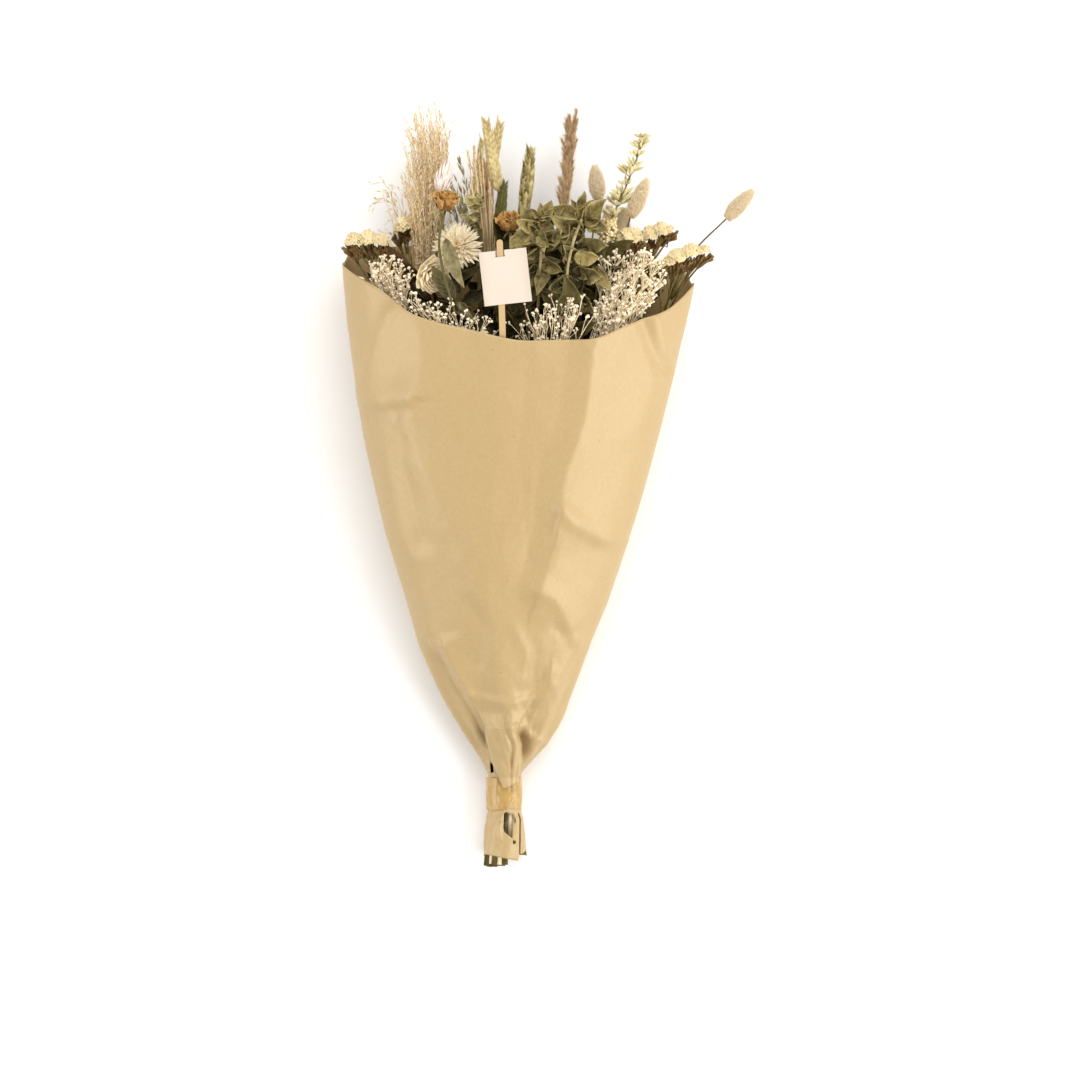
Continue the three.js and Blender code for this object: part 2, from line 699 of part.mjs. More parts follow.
// Places along a statice comb, from its left end to its right end
function combPlaces(p) {
  const count = Math.max(4, Math.round(p.span / 4.5));
  return Array.from({ length: count }, (_, i) => {
    const t = i / (count - 1) - 0.5;
    const side = i % 2 ? 0.9 : -0.9;
    return v3(
      p.tip.x + t * p.span,
      p.tip.y + t * p.span * p.lean - 6 * t * t - 7.5,
      p.tip.z + side + 3 * Math.cos(t * 3),
    );
  });
}

// Cream papery cups side by side
function staticeFlorets(p, seedNumber) {
  const random = draws(seedNumber);
  const cups = combPlaces(p).map((place) => {
    const cup = bar([v3(0, 4 * GAP, 0), v3(0, 8.6, 0)], [1.8, 5.4 + 0.6 * random()], 4);
    const tilt = v3((place.x - p.foot.x) * 0.01 + 0.1 * (random() - 0.5), 1, 0.4 + 0.1 * random());
    return placed(cup, pose(place, tilt));
  });
  return largest(fuse(cups));
}

// The stem, its branches and the brown cups under the florets, with a narrow wing below
function staticeStem(p) {
  const places = combPlaces(p);
  const parts = [stem(p)];
  places.forEach((place, i) => {
    const from = stemAt(p, p.foot.y - (i % 3 ? 2 : 22));
    const [near, neck] = [0.1, 0.75].map((t) => from.clone().lerp(place, t));
    parts.push(bar([from, near, neck, place], [0, 0.75, 0.7, 1.7], 3));
  });
  const wing = blade({ length: 44, width: 5, outline: ovate, thickness: 0.7 }, [1, 2]);
  const start = stemAt(p, p.foot.y - 46);
  parts.push(placed(wing, pose(start, stemAt(p, p.foot.y).sub(start))));
  return largest(fuse(parts));
}

// A spray: branches leave the top of its stem one above the other and fork into small florets
function gypsophila(p, seedNumber) {
  const random = draws(seedNumber);
  const parts = [stem(p)];
  const reach = p.tip.clone().sub(p.foot);
  const across = v3(1, p.lean, 0).normalize();
  const branches = 5;
  for (let i = 0; i < branches; i++) {
    const t = (i + 0.5) / branches - 0.5;
    const from = stemAt(p, p.foot.y - 2 - 8 * ((i * 2) % branches));
    const end = p.foot
      .clone()
      .addScaledVector(reach, 0.95 - 0.7 * t * t)
      .addScaledVector(across, t * p.spread[0])
      .add(v3(0, 0, (random() - 0.5) * p.spread[1]));
    parts.push(club(from, end, 0.6, 2.8, 5.4));
    for (const side of [-1, 1]) {
      const fork = from.clone().lerp(end, 0.58 + 0.12 * side);
      const to = end.clone().add(v3(side * (5 + 3 * random()), -5 - 7 * random(), side * 3));
      parts.push(club(fork, to, 0.5, 2.5, 4.8));
    }
  }
  return largest(fuse(parts));
}

const floret = (place, radius) => solid(new THREE.OctahedronGeometry(radius)).translate(place.toArray());

// A stem with pairs of curled leaves up to a whorl at its tip
function leafyStem(p, seedNumber) {
  const random = draws(seedNumber);
  const { size } = p;
  const parts = [stem(p, [p.tip.clone().lerp(p.foot, 0.15)])];
  for (let i = 0; i < p.leaves; i++) {
    const t = 1 - i / p.leaves;
    const at = p.foot.clone().lerp(p.tip, t * 0.9 - 0.12);
    const turn = i * 2.1 + 0.7 * random();
    const out = v3(Math.cos(turn), 1.1 * t - 0.35, 0.55 * Math.sin(turn) + 0.25);
    const shape = {
      length: size * (0.8 + 0.35 * random()),
      width: size * (0.6 + 0.2 * random()),
      outline: ovate,
      curl: 0.4 + 0.8 * random(),
      fold: 0.3 + 0.3 * random(),
    };
    parts.push(placed(blade(shape, [2, size > 20 ? 3 : 2]), pose(at, out, v3(0, -0.2, 1))));
  }
  return largest(fuse(parts));
}

// The rose's stem with its narrow folded leaves, each from a place on the stem to its tip
function roseStem(p, leaves) {
  const parts = [stem(p)];
  for (const [from, to, width, fold] of leaves) {
    const start = new THREE.Vector3(...from);
    const along = new THREE.Vector3(...to).sub(start);
    const leaf = blade({ length: along.length(), width, outline: ovate, fold }, [2, 4]);
    parts.push(placed(leaf, pose(start, along)));
  }
  return largest(fuse(parts));
}

// A sheaf of fine stalks that leave one stem at many heights, each with seeds near its tip
function sheaf(p, { stalks, roots, spread, depth, shortest, seeds, bud, droop = 0, seedNumber }) {
  const random = draws(seedNumber);
  const parts = [stem(p)];
  for (let i = 0; i < stalks; i++) {
    const t = (i + 0.5) / stalks - 0.5;
    const start = stemAt(p, p.foot.y - 2 - (roots * ((i * 5) % stalks)) / stalks);
    const reach = 1 - (1 - shortest) * random();
    const end = p.foot.clone().lerp(p.tip, reach);
    end.x += t * spread * (0.6 + 0.7 * reach) + (random() - 0.5) * 4;
    end.y -= Math.abs(t) * droop;
    end.z += (random() - 0.5) * depth;
    parts.push(club(start, end, 0.5, ...bud));
    for (let k = 0; k < seeds; k++) {
      const at = start.clone().lerp(end, 0.78 - 0.14 * k);
      const along = end.clone().sub(start).normalize();
      along.x += (i + k) % 2 ? 0.5 : -0.5;
      parts.push(seed(at, at.clone().addScaledVector(along.normalize(), 9), 1.2));
    }
  }
  return largest(fuse(parts));
}

// A reed plume: a slim core with short side plumes that stand out of it
function reedPlume(p, seedNumber) {
  const random = draws(seedNumber);
  const parts = [stem(p, [p.foot.clone().lerp(p.tip, 0.2)]), seed(p.foot, p.tip, 5.6, 6, 0.35)];
  const count = 22;
  for (let i = 0; i < count; i++) {
    const t = i / count;
    const at = p.foot.clone().lerp(p.tip, 0.02 + 0.8 * t);
    const turn = i * 2.4;
    const width = THREE.MathUtils.lerp(9.6, 5, t);
    const to = at.clone().add(
      v3(Math.cos(turn) * width, 13 + 7 * random(), Math.sin(turn) * width * 0.8),
    );
    parts.push(seed(at, to, 2.2));
  }
  return largest(fuse(parts));
}

// A stalk of larkspur with whorls of dry pods
function larkspur(p, seedNumber) {
  const random = draws(seedNumber);
  const bend = p.foot.clone().lerp(p.tip, 0.5).add(v3(2, 2, 0));
  const parts = [stem(p, [bend, p.tip])];
  const pods = 19;
  for (let i = 0; i < pods; i++) {
    const t = (0.97 * i) / (pods - 1);
    const at = t < 0.5 ? p.foot.clone().lerp(bend, 2 * t) : bend.clone().lerp(p.tip, 2 * t - 1);
    const turn = i * 2.4 + 0.5 * random();
    const out = v3(9 * Math.cos(turn), 8, 5 * Math.sin(turn)).multiplyScalar(1 - 0.25 * t);
    parts.push(club(at, at.clone().add(out), 0.5, 2.7, 8.5));
  }
  return largest(fuse(parts));
}

// A tight cluster of small buttons
function yarrowHead(p, seedNumber) {
  const random = draws(seedNumber);
  const parts = [];
  for (let i = 0; i < 11; i++) {
    const t = i / 10;
    const turn = i * 2.4;
    const away = 4.2 * Math.sqrt(Math.sin(Math.PI * (0.12 + 0.8 * t)));
    const at = p.foot.clone().lerp(p.tip, 0.12 + 0.82 * t);
    at.add(v3(Math.cos(turn) * away, 1, Math.sin(turn) * away));
    parts.push(floret(at, 3 + 0.5 * random()));
  }
  const along = p.tip.clone().sub(p.foot).normalize();
  parts.push(seed(p.foot.clone().addScaledVector(along, GAP), p.tip, 5, 5));
  return largest(fuse(parts));
}

// A broad dry leaf on its own stalk
function brownLeaf(p) {
  const along = p.tip.clone().sub(p.foot);
  const leaf = blade(
    { length: along.length() * 1.02, width: 27, outline: ovate, curl: 0.25, fold: 0.12, wave: 1 },
    [2, 6],
  );
  const start = stemAt(p, p.foot.y - 3);
  return fuse([stem(p), placed(leaf, pose(start, along, v3(0.2, 0, 1)))]);
}

// ---------------------------------------------------------------- putting it together

giveSlots(ALL_PLANTS);

const pieces = [];
const add = (name, body, colour, roughness = 0.85) =>
  pieces.push({ name, body: eased(body), colour, roughness });

add("paper_wrap", paperWrap().subtract(footOpenings()), COLOUR.kraft);
add("neck_tape", ring(TAPE), COLOUR.tape, 0.45);
add("stem_band", ring(BAND), COLOUR.band);
add("card_stick", stick(), COLOUR.stick);
add("card", card(), COLOUR.card);

WHEAT.forEach((p) => add(p.name, wheat(p), p.name === "green_wheat" ? COLOUR.greenWheat : COLOUR.wheat));
LAGURUS.forEach((p) => {
  add(`${p.name}_stem`, stem(p), COLOUR.paleStem);
  add(`${p.name}_head`, tufted(p.foot, p.tip, HARE_TAIL), COLOUR.lagurus);
});
const ROSE_LEAVES = [
  [
    [[-48.4, 112, 108], [-47, 157, 111], 14, 0.35],
    [[-44.4, 97, 105], [-61, 128, 104], 15, -0.3],
    [[-44.4, 98, 105], [-31, 124, 101], 13, -0.4],
  ],
  [
    [[-1.6, 140, 80], [9, 152, 86], 10, 0.3],
    [[-1.8, 134, 79], [-14, 148, 84], 10, 0.3],
  ],
];
ROSES.forEach((p, i) => {
  add(`${p.name}_stem`, roseStem(p, ROSE_LEAVES[i]), COLOUR.paleLeaf);
  add(`${p.name}_bud`, rose(p, 41 + i), COLOUR.rose);
});
const FLOWER_RINGS = [
  [
    { count: 14, reach: 1, rise: 2, step: 11, curl: 0.2, from: -8 },
    { count: 8, reach: 0.8, rise: 28, step: 10, curl: 0.35, from: 22 },
    { count: 4, reach: 0.58, rise: 52, step: 0, curl: 0.5, from: 50 },
  ],
  [
    { count: 12, reach: 1, rise: 0, step: 12, curl: 0.3, from: -10 },
    { count: 6, reach: 0.85, rise: 30, step: 12, curl: 0.4, from: 22 },
    { count: 4, reach: 0.65, rise: 54, step: 0, curl: 0.5, from: 50 },
  ],
  [{ count: 8, reach: 2.2, rise: 58, step: 12, curl: 0.3, from: -50 }],
];
STRAWFLOWERS.forEach((p, i) => {
  const width = [5.6, 5, 4.6][i];
  add(`${p.name}_stem`, stem(p), COLOUR.greenStem);
  add(
    `${p.name}_bloom`,
    strawflower(p, { rings: FLOWER_RINGS[i], width, seedNumber: 51 + i }),
    i === 2 ? COLOUR.pinkStrawflower : COLOUR.strawflower,
  );
});
STATICE.forEach((p, i) => {
  add(`${p.name}_stem`, staticeStem(p), COLOUR.calyx);
  add(`${p.name}_florets`, staticeFlorets(p, 61 + i), COLOUR.statice);
});
add("yarrow_stem", stem(YARROW), COLOUR.greenStem);
add("yarrow_head", yarrowHead(YARROW, 71), COLOUR.yarrow);
add("larkspur", larkspur(LARKSPUR, 72), COLOUR.pod);
add("brown_plume", reedPlume(BROWN_PLUME, 73), COLOUR.brownPlume);
add(
  "tan_plume",
  sheaf(PLUME, {
    stalks: 19,
    roots: 90,
    spread: 40,
    depth: 20,
    shortest: 0.55,
    seeds: 0,
    bud: [2.6, 44],
    droop: 24,
    seedNumber: 74,
  }),
  COLOUR.plume,
);
add(
  "fine_grass",
  sheaf(FINE_GRASS, {
    stalks: 6,
    roots: 50,
    spread: 44,
    depth: 8,
    shortest: 0.7,
    seeds: 1,
    bud: [1.2, 8],
    seedNumber: 75,
  }),
  COLOUR.plume,
);
add(
  "straw_bunch",
  sheaf(STRAW, {
    stalks: 9,
    roots: 70,
    spread: 24,
    depth: 10,
    shortest: 0.72,
    seeds: 0,
    bud: [1.3, 18],
    seedNumber: 76,
  }),
  COLOUR.straw,
);
GYPSOPHILA.forEach((p, i) => add(p.name, gypsophila(p, 81 + i), COLOUR.gypsophila));
LEAFY.forEach((p, i) => {
  const pale = p.name === "pale_leafy_stem";
  add(p.name, leafyStem(p, 91 + i), pale ? COLOUR.paleLeaf : COLOUR.leaf);
});
add("brown_leaf", brownLeaf(BROWN_LEAF), COLOUR.brownLeaf);

// Where a later piece would cross an earlier one, it is cut back by the clearance
function fattened(body, box) {
  const size = box.max.map((high, k) => high - box.min[k] + 4);
  const region = solid(new THREE.BoxGeometry(...size)).translate(
    box.max.map((high, k) => (high + box.min[k]) / 2),
  );
  const near = body.intersect(region);
  const steps = [];
  for (const side of [-GAP, GAP]) steps.push([side, 0, 0], [0, side, 0], [0, 0, side]);
  return fuse([near, ...steps.map((step) => near.translate(step))]);
}

const boxesMeet = (a, b) => [0, 1, 2].every((k) => a.min[k] < b.max[k] && b.min[k] < a.max[k]);

pieces.forEach((piece, i) => {
  for (const other of pieces.slice(0, i)) {
    if (!boxesMeet(piece.body.boundingBox(), other.body.boundingBox())) continue;
    const common = piece.body.intersect(other.body);
    if (common.isEmpty()) continue;
    piece.body = eased(piece.body.subtract(fattened(other.body, common.boundingBox())));
  }
});

const bouquet = new THREE.Group();
for (const { name, body, colour, roughness } of pieces) {
  const { vertProperties, triVerts } = body.getMesh();
  const geometry = new THREE.BufferGeometry();
  geometry.setAttribute("position", new THREE.BufferAttribute(new Float32Array(vertProperties), 3));
  geometry.setIndex(new THREE.BufferAttribute(triVerts, 1));
  geometry.computeVertexNormals();
  const material = new THREE.MeshStandardMaterial({ color: colour, roughness, metalness: 0 });
  const mesh = new THREE.Mesh(geometry, material);
  mesh.name = name;
  bouquet.add(mesh);
}

export default bouquet;
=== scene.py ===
import math
import random

import bmesh
import bpy
import numpy as np
from bpy.props import FloatProperty, FloatVectorProperty, IntProperty, PointerProperty
from mathutils import Matrix, Vector, noise
from mathutils.bvhtree import BVHTree
from mathutils.geometry import intersect_point_line


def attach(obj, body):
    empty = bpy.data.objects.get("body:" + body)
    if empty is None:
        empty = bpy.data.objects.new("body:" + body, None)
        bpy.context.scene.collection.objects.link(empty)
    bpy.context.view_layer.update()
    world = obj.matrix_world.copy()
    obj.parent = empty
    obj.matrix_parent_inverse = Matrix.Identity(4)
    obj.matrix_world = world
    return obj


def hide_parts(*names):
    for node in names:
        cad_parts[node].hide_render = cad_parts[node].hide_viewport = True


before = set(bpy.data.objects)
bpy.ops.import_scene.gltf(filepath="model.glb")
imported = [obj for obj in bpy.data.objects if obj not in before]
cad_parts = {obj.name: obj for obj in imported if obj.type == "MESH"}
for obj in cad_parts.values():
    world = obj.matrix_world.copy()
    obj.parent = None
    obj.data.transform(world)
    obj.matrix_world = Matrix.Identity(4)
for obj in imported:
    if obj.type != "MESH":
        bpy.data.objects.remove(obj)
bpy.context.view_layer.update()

bl_info = {
    "name": "Dried Flower Bouquet",
    "version": (1, 0, 0),
    "blender": (4, 5, 0),
    "location": "View3D > Sidebar > Bouquet",
    "description": "Builds a bouquet of dried flowers in a kraft paper wrap, lying on its back",
    "category": "Add Mesh",
}

# ---------------- places and sizes
# Shapes are made in millimetres, with +Y along the bouquet towards its flowers and +Z up.
# A finished piece is scaled to metres.

MM = 0.001
FRONT = np.array([0.0, 0.0, 1.0])
UP = np.array([0.0, 1.0, 0.0])
GOLDEN_TURN = 2.39996
LEAF_TURN = 2.4  # radians from one leaf or spikelet to the next

BRISTLES = 3600  # of a hare's tail
TUBE_FLORETS = 150  # of a strawflower's middle
BUTTONS = 150  # of the yarrow
CUPS = 14  # at each place along a statice comb
SPIKELETS = 23  # of an ear of wheat, in two ranks
SIDE_PLUMES, SIDE_SPIKELETS = 64, 92  # of the brown plume, and of each of its side plumes

NECK_X, NECK_Z, NECK_TOP = -6.45, 15.5, -266
FAN_BEND = 30  # how softly a stem leaves the neck
GAP = 0.3

# Sections of the wrap: height, left edge, right edge, back, front, squareness of the back
WRAP_SECTIONS = [
    (-334, -22.6, 11.4, 0, 31, 2),
    (-318, -22.4, 10.4, 0, 30.6, 2),
    (-304, -21.6, 8.4, 1, 30, 2),
    (-297, -19.8, 6.9, 2.1, 28.9, 2),
    (-270, -19.8, 6.9, 2.1, 28.9, 2),
    (-258, -24.5, 15.5, 1.2, 34, 2),
    (-246, -32, 26, 0, 40, 2.1),
    (-222, -46.4, 40.8, -2.5, 50, 2.3),
    (-198, -60, 49.6, -4, 60, 2.5),
    (-163, -74.8, 62.9, -5, 73, 2.7),
    (-127, -85.1, 77.2, -5, 84, 2.8),
    (-56, -105.8, 100.3, -5, 103, 2.8),
    (28, -122.5, 123.3, -5, 119, 2.8),
    (76, -128.9, 134.5, -5, 125, 2.8),
    (123, -133.7, 144, -5, 130, 2.8),
    (165, -136, 150, -5, 133, 2.8),
]
# Height of the wrap's upper edge by the angle round it: 0 right, 90 front, 180 left, 270 back
RIM = [
    (0, 124), (32, 100), (50, 89), (66, 78), (84, 77), (105, 84), (125, 96), (147, 122), (165, 135),
    (180, 141.6), (200, 152), (235, 157), (270, 157), (310, 149), (340, 134), (360, 124),
]
# Share of the rows from the foot of the wrap up to each height; the last one is the upper edge
WRAP_ROWS = [(0, -334), (0.15, -297), (0.28, -262), (0.43, -200), (0.7, -30), (1, None)]

# Folds of the front of the wrap: height, reach to the left and to the right of the line as it
# runs, and the line's points
FOLDS = [
    (6.5, 40, 20, [(70, 92), (62, 66), (60, 43), (57, 19), (50, -4), (42, -26), (37, -54)]),
    (3.2, 14, 9, [(37, -56), (48, -67), (70, -78), (96, -84)]),
    (4.6, 30, 17, [(34, -72), (28, -101), (21, -121)]),
    (2.8, 16, 8, [(21, -121), (33, -127), (40, -138), (46, -152), (54, -165)]),
    (-3.8, 8, 9, [(104, 92), (112, 70), (123, 48)]),
    (3.0, 9, 8, [(113, 94), (121, 72), (130, 46)]),
    (0.8, 4, 4, [(57, 73), (64, 64), (67, 55)]),
    (5.0, 42, 30, [(-74, 96), (-70, 74), (-68, 60), (-71, 46), (-78, 33)]),
    (3.2, 9, 26, [(-123, 34), (-112, 62), (-96, 100)]),
    (3.0, 30, 8, [(-124, 32), (-108, 28), (-79, 30)]),
    (-2.6, 14, 14, [(-92, 24), (-88, 0), (-86, -20), (-81, -46), (-72, -80)]),
    (1.9, 20, 18, [(-86, 14), (-72, -16), (-62, -38), (-50, -66), (-38, -98), (-26, -128)]),
    (1.8, 4, 9, [(-80, -158), (-74, -162), (-59, -164), (-44, -157)]),
    (-9.0, 9, 16, [(-60, -174), (-47, -198), (-37, -213), (-30, -226), (-25, -242)]),
    (3.6, 16, 6, [(-52, -168), (-43, -186), (-33, -203)]),
    (2.6, 10, 5, [(30, -184), (29, -193), (20, -204), (4, -208), (-14, -208), (-35, -203)]),
    (2.0, 8, 5, [(30, -195), (14, -226), (2, -228)]),
    (-3.4, 8, 12, [(50, -204), (40, -215), (32, -223), (20, -236)]),
    (-9.0, 6, 6, [(8, -234), (10, -245), (10, -256), (8, -270)]),
    (3.0, 7, 4, [(6, -231), (16, -237), (27, -244)]),
    (-6.0, 8, 8, [(-25, -236), (-22, -248), (-20, -262)]),
    (2.0, 34, 34, [(-12, -20), (-20, -110), (-10, -196)]),
    (-1.6, 22, 26, [(14, 64), (6, -10), (14, -96)]),
    (-1.6, 7, 5, [(34, -150), (44, -156), (56, -152)]),
    (1.6, 9, 6, [(48, -170), (36, -186), (34, -200)]),
    (-1.4, 9, 9, [(-34, -128), (-22, -150), (-26, -176)]),
    (1.2, 8, 8, [(2, -150), (12, -168), (8, -190)]),
    (2.6, 3.5, 3.5, [(-9, -304), (-7, -299), (-2, -297), (4, -297), (8, -300)]),
    (1.3, 2.5, 2.5, [(-9, -303), (-10, -310), (-9, -320)]),
    (1.0, 2, 3, [(4.2, -303), (3, -312), (2.6, -322)]),
]
PLEATS = 9
PLEAT_DEPTH = 2.2

# The flap of gathered paper over the neck: left and right edges from its upper end down
FLAP_LEFT = [(-36, -200), (-28, -216), (-22, -228), (-21.2, -238), (-17.2, -254), (-12.4, -267), (-7, -279)]
FLAP_RIGHT = [(22, -200), (13, -214), (6, -226), (4.2, -233), (7.7, -243), (7.3, -256), (5, -274)]
TORN_WINDOW = [(-7.2, -299), (-4.5, -297.6), (-2, -299.8), (1.6, -300.4), (3.3, -305.5), (0.7, -309)]
TORN_WINDOW += [(0.3, -318.8), (-3.2, -316.4), (-6.6, -313.6), (-7.6, -306.4)]
FOOT_SLIT = [(4.3, -298.5), (5.2, -298.5), (7, -304), (6.6, -338), (5.4, -338), (5.9, -304)]
NECK_HOLE = [(-18, -257), (-15.4, -260), (-14.8, -266), (-17.4, -267)]
PINHOLE = [(0.2, -320.6), (2.8, -320.8), (3, -323), (0.8, -323.6)]
PAPER_SKIN = 0.45  # thickness of the wrap's wall
# Creases down the flap: their place across it at its top, middle and end, height and reach
FLAP_CREASES = [
    ((0.56, 0.74, 0.5), -1.8, 0.1),
    ((0.66, 0.86, 0.6), 1.6, 0.16),
    ((0.2, 0.3, 0.25), 1.0, 0.3),
    ((0.5, 0.42, 0.62), 0.8, 0.1),
]

TAPE_RADIUS, TAPE_BOTTOM, TAPE_TOP = 14.1, -296.5, -271

STICK = {"width": 5, "thickness": 1.6, "foot": (-3.2, -40, 104.7), "tip": (-9.2, 154.4, 135.3)}
CARD = {"width": 37.3, "height": 42.3, "thickness": 0.7, "turn": 6.5, "x": -4.7, "y": 125.6}
CARD_SLIT = {"x": -2.1, "drop": 5.2, "width": 7}


class Plant:
    """One stem of the bouquet: where its head starts and ends, where the stem bends, and its node."""

    def __init__(self, name, foot, tip, bends=(), **more):
        self.name = name
        self.stem = f"{name}_stem" if f"{name}_stem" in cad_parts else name
        self.foot = np.array(foot, float)
        self.tip = np.array(tip, float)
        self.bends = [np.array(place, float) for place in [*bends, foot]]
        self.axis = self.tip - self.foot
        self.slim = 1.0
        for key, value in more.items():
            setattr(self, key, value)

    def at(self, share):
        """A place on the head, from 0 at its foot to 1 at its tip."""
        return lerp(self.foot, self.tip, share)


WHEAT = [
    Plant("wheat_1", (-10.3, 197, 66), (-21.5, 257, 72)),
    Plant("wheat_2", (-20.7, 200, 46), (-8.8, 257.4, 46)),
    Plant("wheat_3", (-29.5, 185, 58), (-23.9, 242.7, 52), slim=0.62),
    Plant("green_wheat", (-11.9, 155, 45), (-6.4, 209, 47)),
    Plant("wheat_5", (8.8, 178, 46), (15.1, 236.3, 46), slim=1.18),
]
LAGURUS_3_BENDS = [(128, 120, 54), (143, 148, 56)]
LAGURUS = [
    Plant("lagurus_1", (69.2, 191.8, 40), (66, 221.2, 40)),
    Plant("lagurus_2", (93.9, 176.7, 62), (108.2, 208.5, 64)),
    Plant("lagurus_3", (170.5, 176.2, 54), (192.6, 199.7, 58), LAGURUS_3_BENDS),
    Plant("lagurus_4", (79.6, 160.7, 26), (78, 190, 27)),
    Plant("lagurus_5", (85.6, 154.5, 44), (89.5, 186.5, 46)),
]
STATICE = [
    Plant("statice_1", (-104, 128, 62), (-113.8, 163, 64), span=37, lean=-0.05),
    Plant("statice_2", (-84, 150, 42), (-85.5, 176, 44), span=16, lean=0.3),
    Plant("statice_3", (86, 130, 66), (93.5, 165, 72), span=20, lean=0.1),
    Plant("statice_4", (108, 138, 46), (114.5, 170, 46), span=29, lean=0.35),
    Plant("statice_5", (126, 112, 74), (137, 150, 82), span=39, lean=0.3),
]
STRAWFLOWERS = [
    Plant("strawflower_1", (-42.5, 150, 75), (-43.5, 154, 86), reach=20.5),
    Plant("strawflower_2", (-66, 131, 89), (-60.5, 128, 98.5), reach=16.5),
    Plant("strawflower_3", (-57.5, 192, 71), (-52.5, 214, 73), reach=8),
]
ROSES = [
    Plant(
        "rose_1",
        (-52.5, 180, 93),
        (-51, 194, 99),
        [(-45, 100, 106), (-53, 128, 111), (-57, 152, 109)],
        leaves=[
            ((-52, 157, 110), (-41.5, 117, 109), 11, 0.7, 0.3),
            ((-45.5, 108, 107), (-60, 137, 105), 13, -0.3, 1.5),
            ((-44, 106, 106), (-30, 95, 103), 10, -0.6, 0.9),
        ],
    ),
    Plant(
        "rose_2",
        (-1, 164, 84),
        (-2.4, 178, 90),
        leaves=[
            ((-1.6, 140, 80), (9, 152, 86), 10, 0.3, 0.6),
            ((-1.8, 134, 79), (-14, 148, 84), 10, 0.3, 0.8),
        ],
    ),
]
TAN_PLUME = Plant("tan_plume", (-76, 112, 52), (-64, 263, 50))
FINE_GRASS = Plant("fine_grass", (-84, 120, 20), (-106.6, 222, 22))
STRAW_BUNCH = Plant("straw_bunch", (-22, 110, 28), (-28, 232, 28))
BROWN_PLUME = Plant("brown_plume", (41, 172, 50), (49.3, 254.5, 50))
LARKSPUR = Plant("larkspur", (72, 158, 64), (106.6, 243.5, 66))
YARROW = Plant("yarrow", (74, 152, 84), (77.2, 174, 86))
GYPSOPHILA = [
    Plant("gypsophila_1", (-88, 108, 86), (-108, 139, 90), spread=(34, 14), lean=-0.05, forks=18),
    Plant("gypsophila_2", (-36, 66, 106), (-52, 104, 110), spread=(84, 8), lean=-0.42, forks=12),
    Plant("gypsophila_3", (28, 56, 106), (36, 108, 113), spread=(48, 8), lean=0.2, forks=9),
    Plant("gypsophila_4", (58, 66, 98), (108, 142, 100), spread=(46, 16), lean=-0.6, forks=32),
]
LEAFY = [
    Plant("leafy_stem_1", (22, 128, 92), (22, 180, 94), leaves=9, size=27),
    Plant("leafy_stem_2", (46, 112, 100), (58, 186, 96), leaves=10, size=27),
    Plant("leafy_stem_3", (54, 84, 56), (48, 142, 62), leaves=8, size=22),
    Plant("leafy_stem_4", (12, 60, 62), (12, 128, 58), leaves=8, size=25),
    Plant("pale_leafy_stem", (-27, 158, 62), (-25, 194, 66), leaves=12, size=15),
]
# Where the stalks of the two front leafy stems run over their leaves
FRONT_STALKS = {
    "leafy_stem_1": [(21.5, 128, 99), (23.2, 146.8, 103), (22.5, 162, 98)],
    "leafy_stem_2": [(43.8, 121, 105), (47.7, 152, 108), (54.9, 172.6, 104)],
}
# The leaves that show most: start, end, width and shade, 0 the palest
FRONT_LEAVES = {
    "leafy_stem_1": [
        ((14.3, 165, 97), (1.6, 147, 98), 13, 0.3),
        ((27.9, 139, 94), (15.9, 113, 98), 11, 0.5),
        ((24, 160, 99), (21, 145, 103), 9, 0.1),
        ((18, 170, 97), (8, 184, 96), 11, 0.4),
        ((25, 172, 97), (31, 188, 95), 10, 0.2),
        ((22, 170, 98), (36, 166, 98), 12, 0.5),
        ((16, 162, 98), (30, 150, 100), 12, 0.7),
    ],
    "leafy_stem_2": [
        ((49, 141.6, 105), (69, 145.5, 104), 13, 0.1),
        ((38.2, 169, 99), (48.5, 152, 101), 13, 0.2),
        ((53, 174, 101), (31, 182, 97), 14, 0.4),
        ((52.5, 178, 100), (56, 195, 96), 10, 0.3),
        ((60, 173, 99), (75, 163, 97), 14, 0.5),
        ((64.5, 136, 99), (75.6, 115, 97), 11, 0.3),
        ((57, 176, 101), (68, 186, 97), 11, 0.2),
        ((45, 166, 98), (30, 156, 96), 13, 0.8),
    ],
}
BROWN_LEAF = Plant("brown_leaf", (-66, 76, 56), (-86, 158, 62))
# Stems that keep leaves low down, coloured dark as painted shade deep in the wrap: plant, number of leaves
# and their length
LOWER_LEAVES = [
    (STRAWFLOWERS[0], 14, 30),
    (STRAWFLOWERS[1], 12, 26),
    (ROSES[1], 16, 34),
    (WHEAT[1], 14, 32),
    (WHEAT[4], 14, 32),
    (LEAFY[2], 16, 34),
    (LEAFY[3], 18, 36),
    (LEAFY[1], 14, 32),
    (LARKSPUR, 16, 34),
    (BROWN_PLUME, 16, 32),
    (YARROW, 14, 30),
    (STATICE[2], 14, 30),
    (STATICE[3], 12, 30),
    (STATICE[0], 30, 21),
]


# ---------------- settings


def hue(code):
    """Scene colour from the hex code of a display colour."""
    parts = [int(code[i : i + 2], 16) / 255 for i in (0, 2, 4)]
    return [c / 12.92 if c <= 0.04045 else ((c + 0.055) / 1.055) ** 2.4 for c in parts]


def tint(label, code):
    text = f"Main colour of the {label.lower()}"
    return FloatVectorProperty(
        name=label, description=text, subtype="COLOR", size=3, min=0, max=1, default=hue(code)
    )


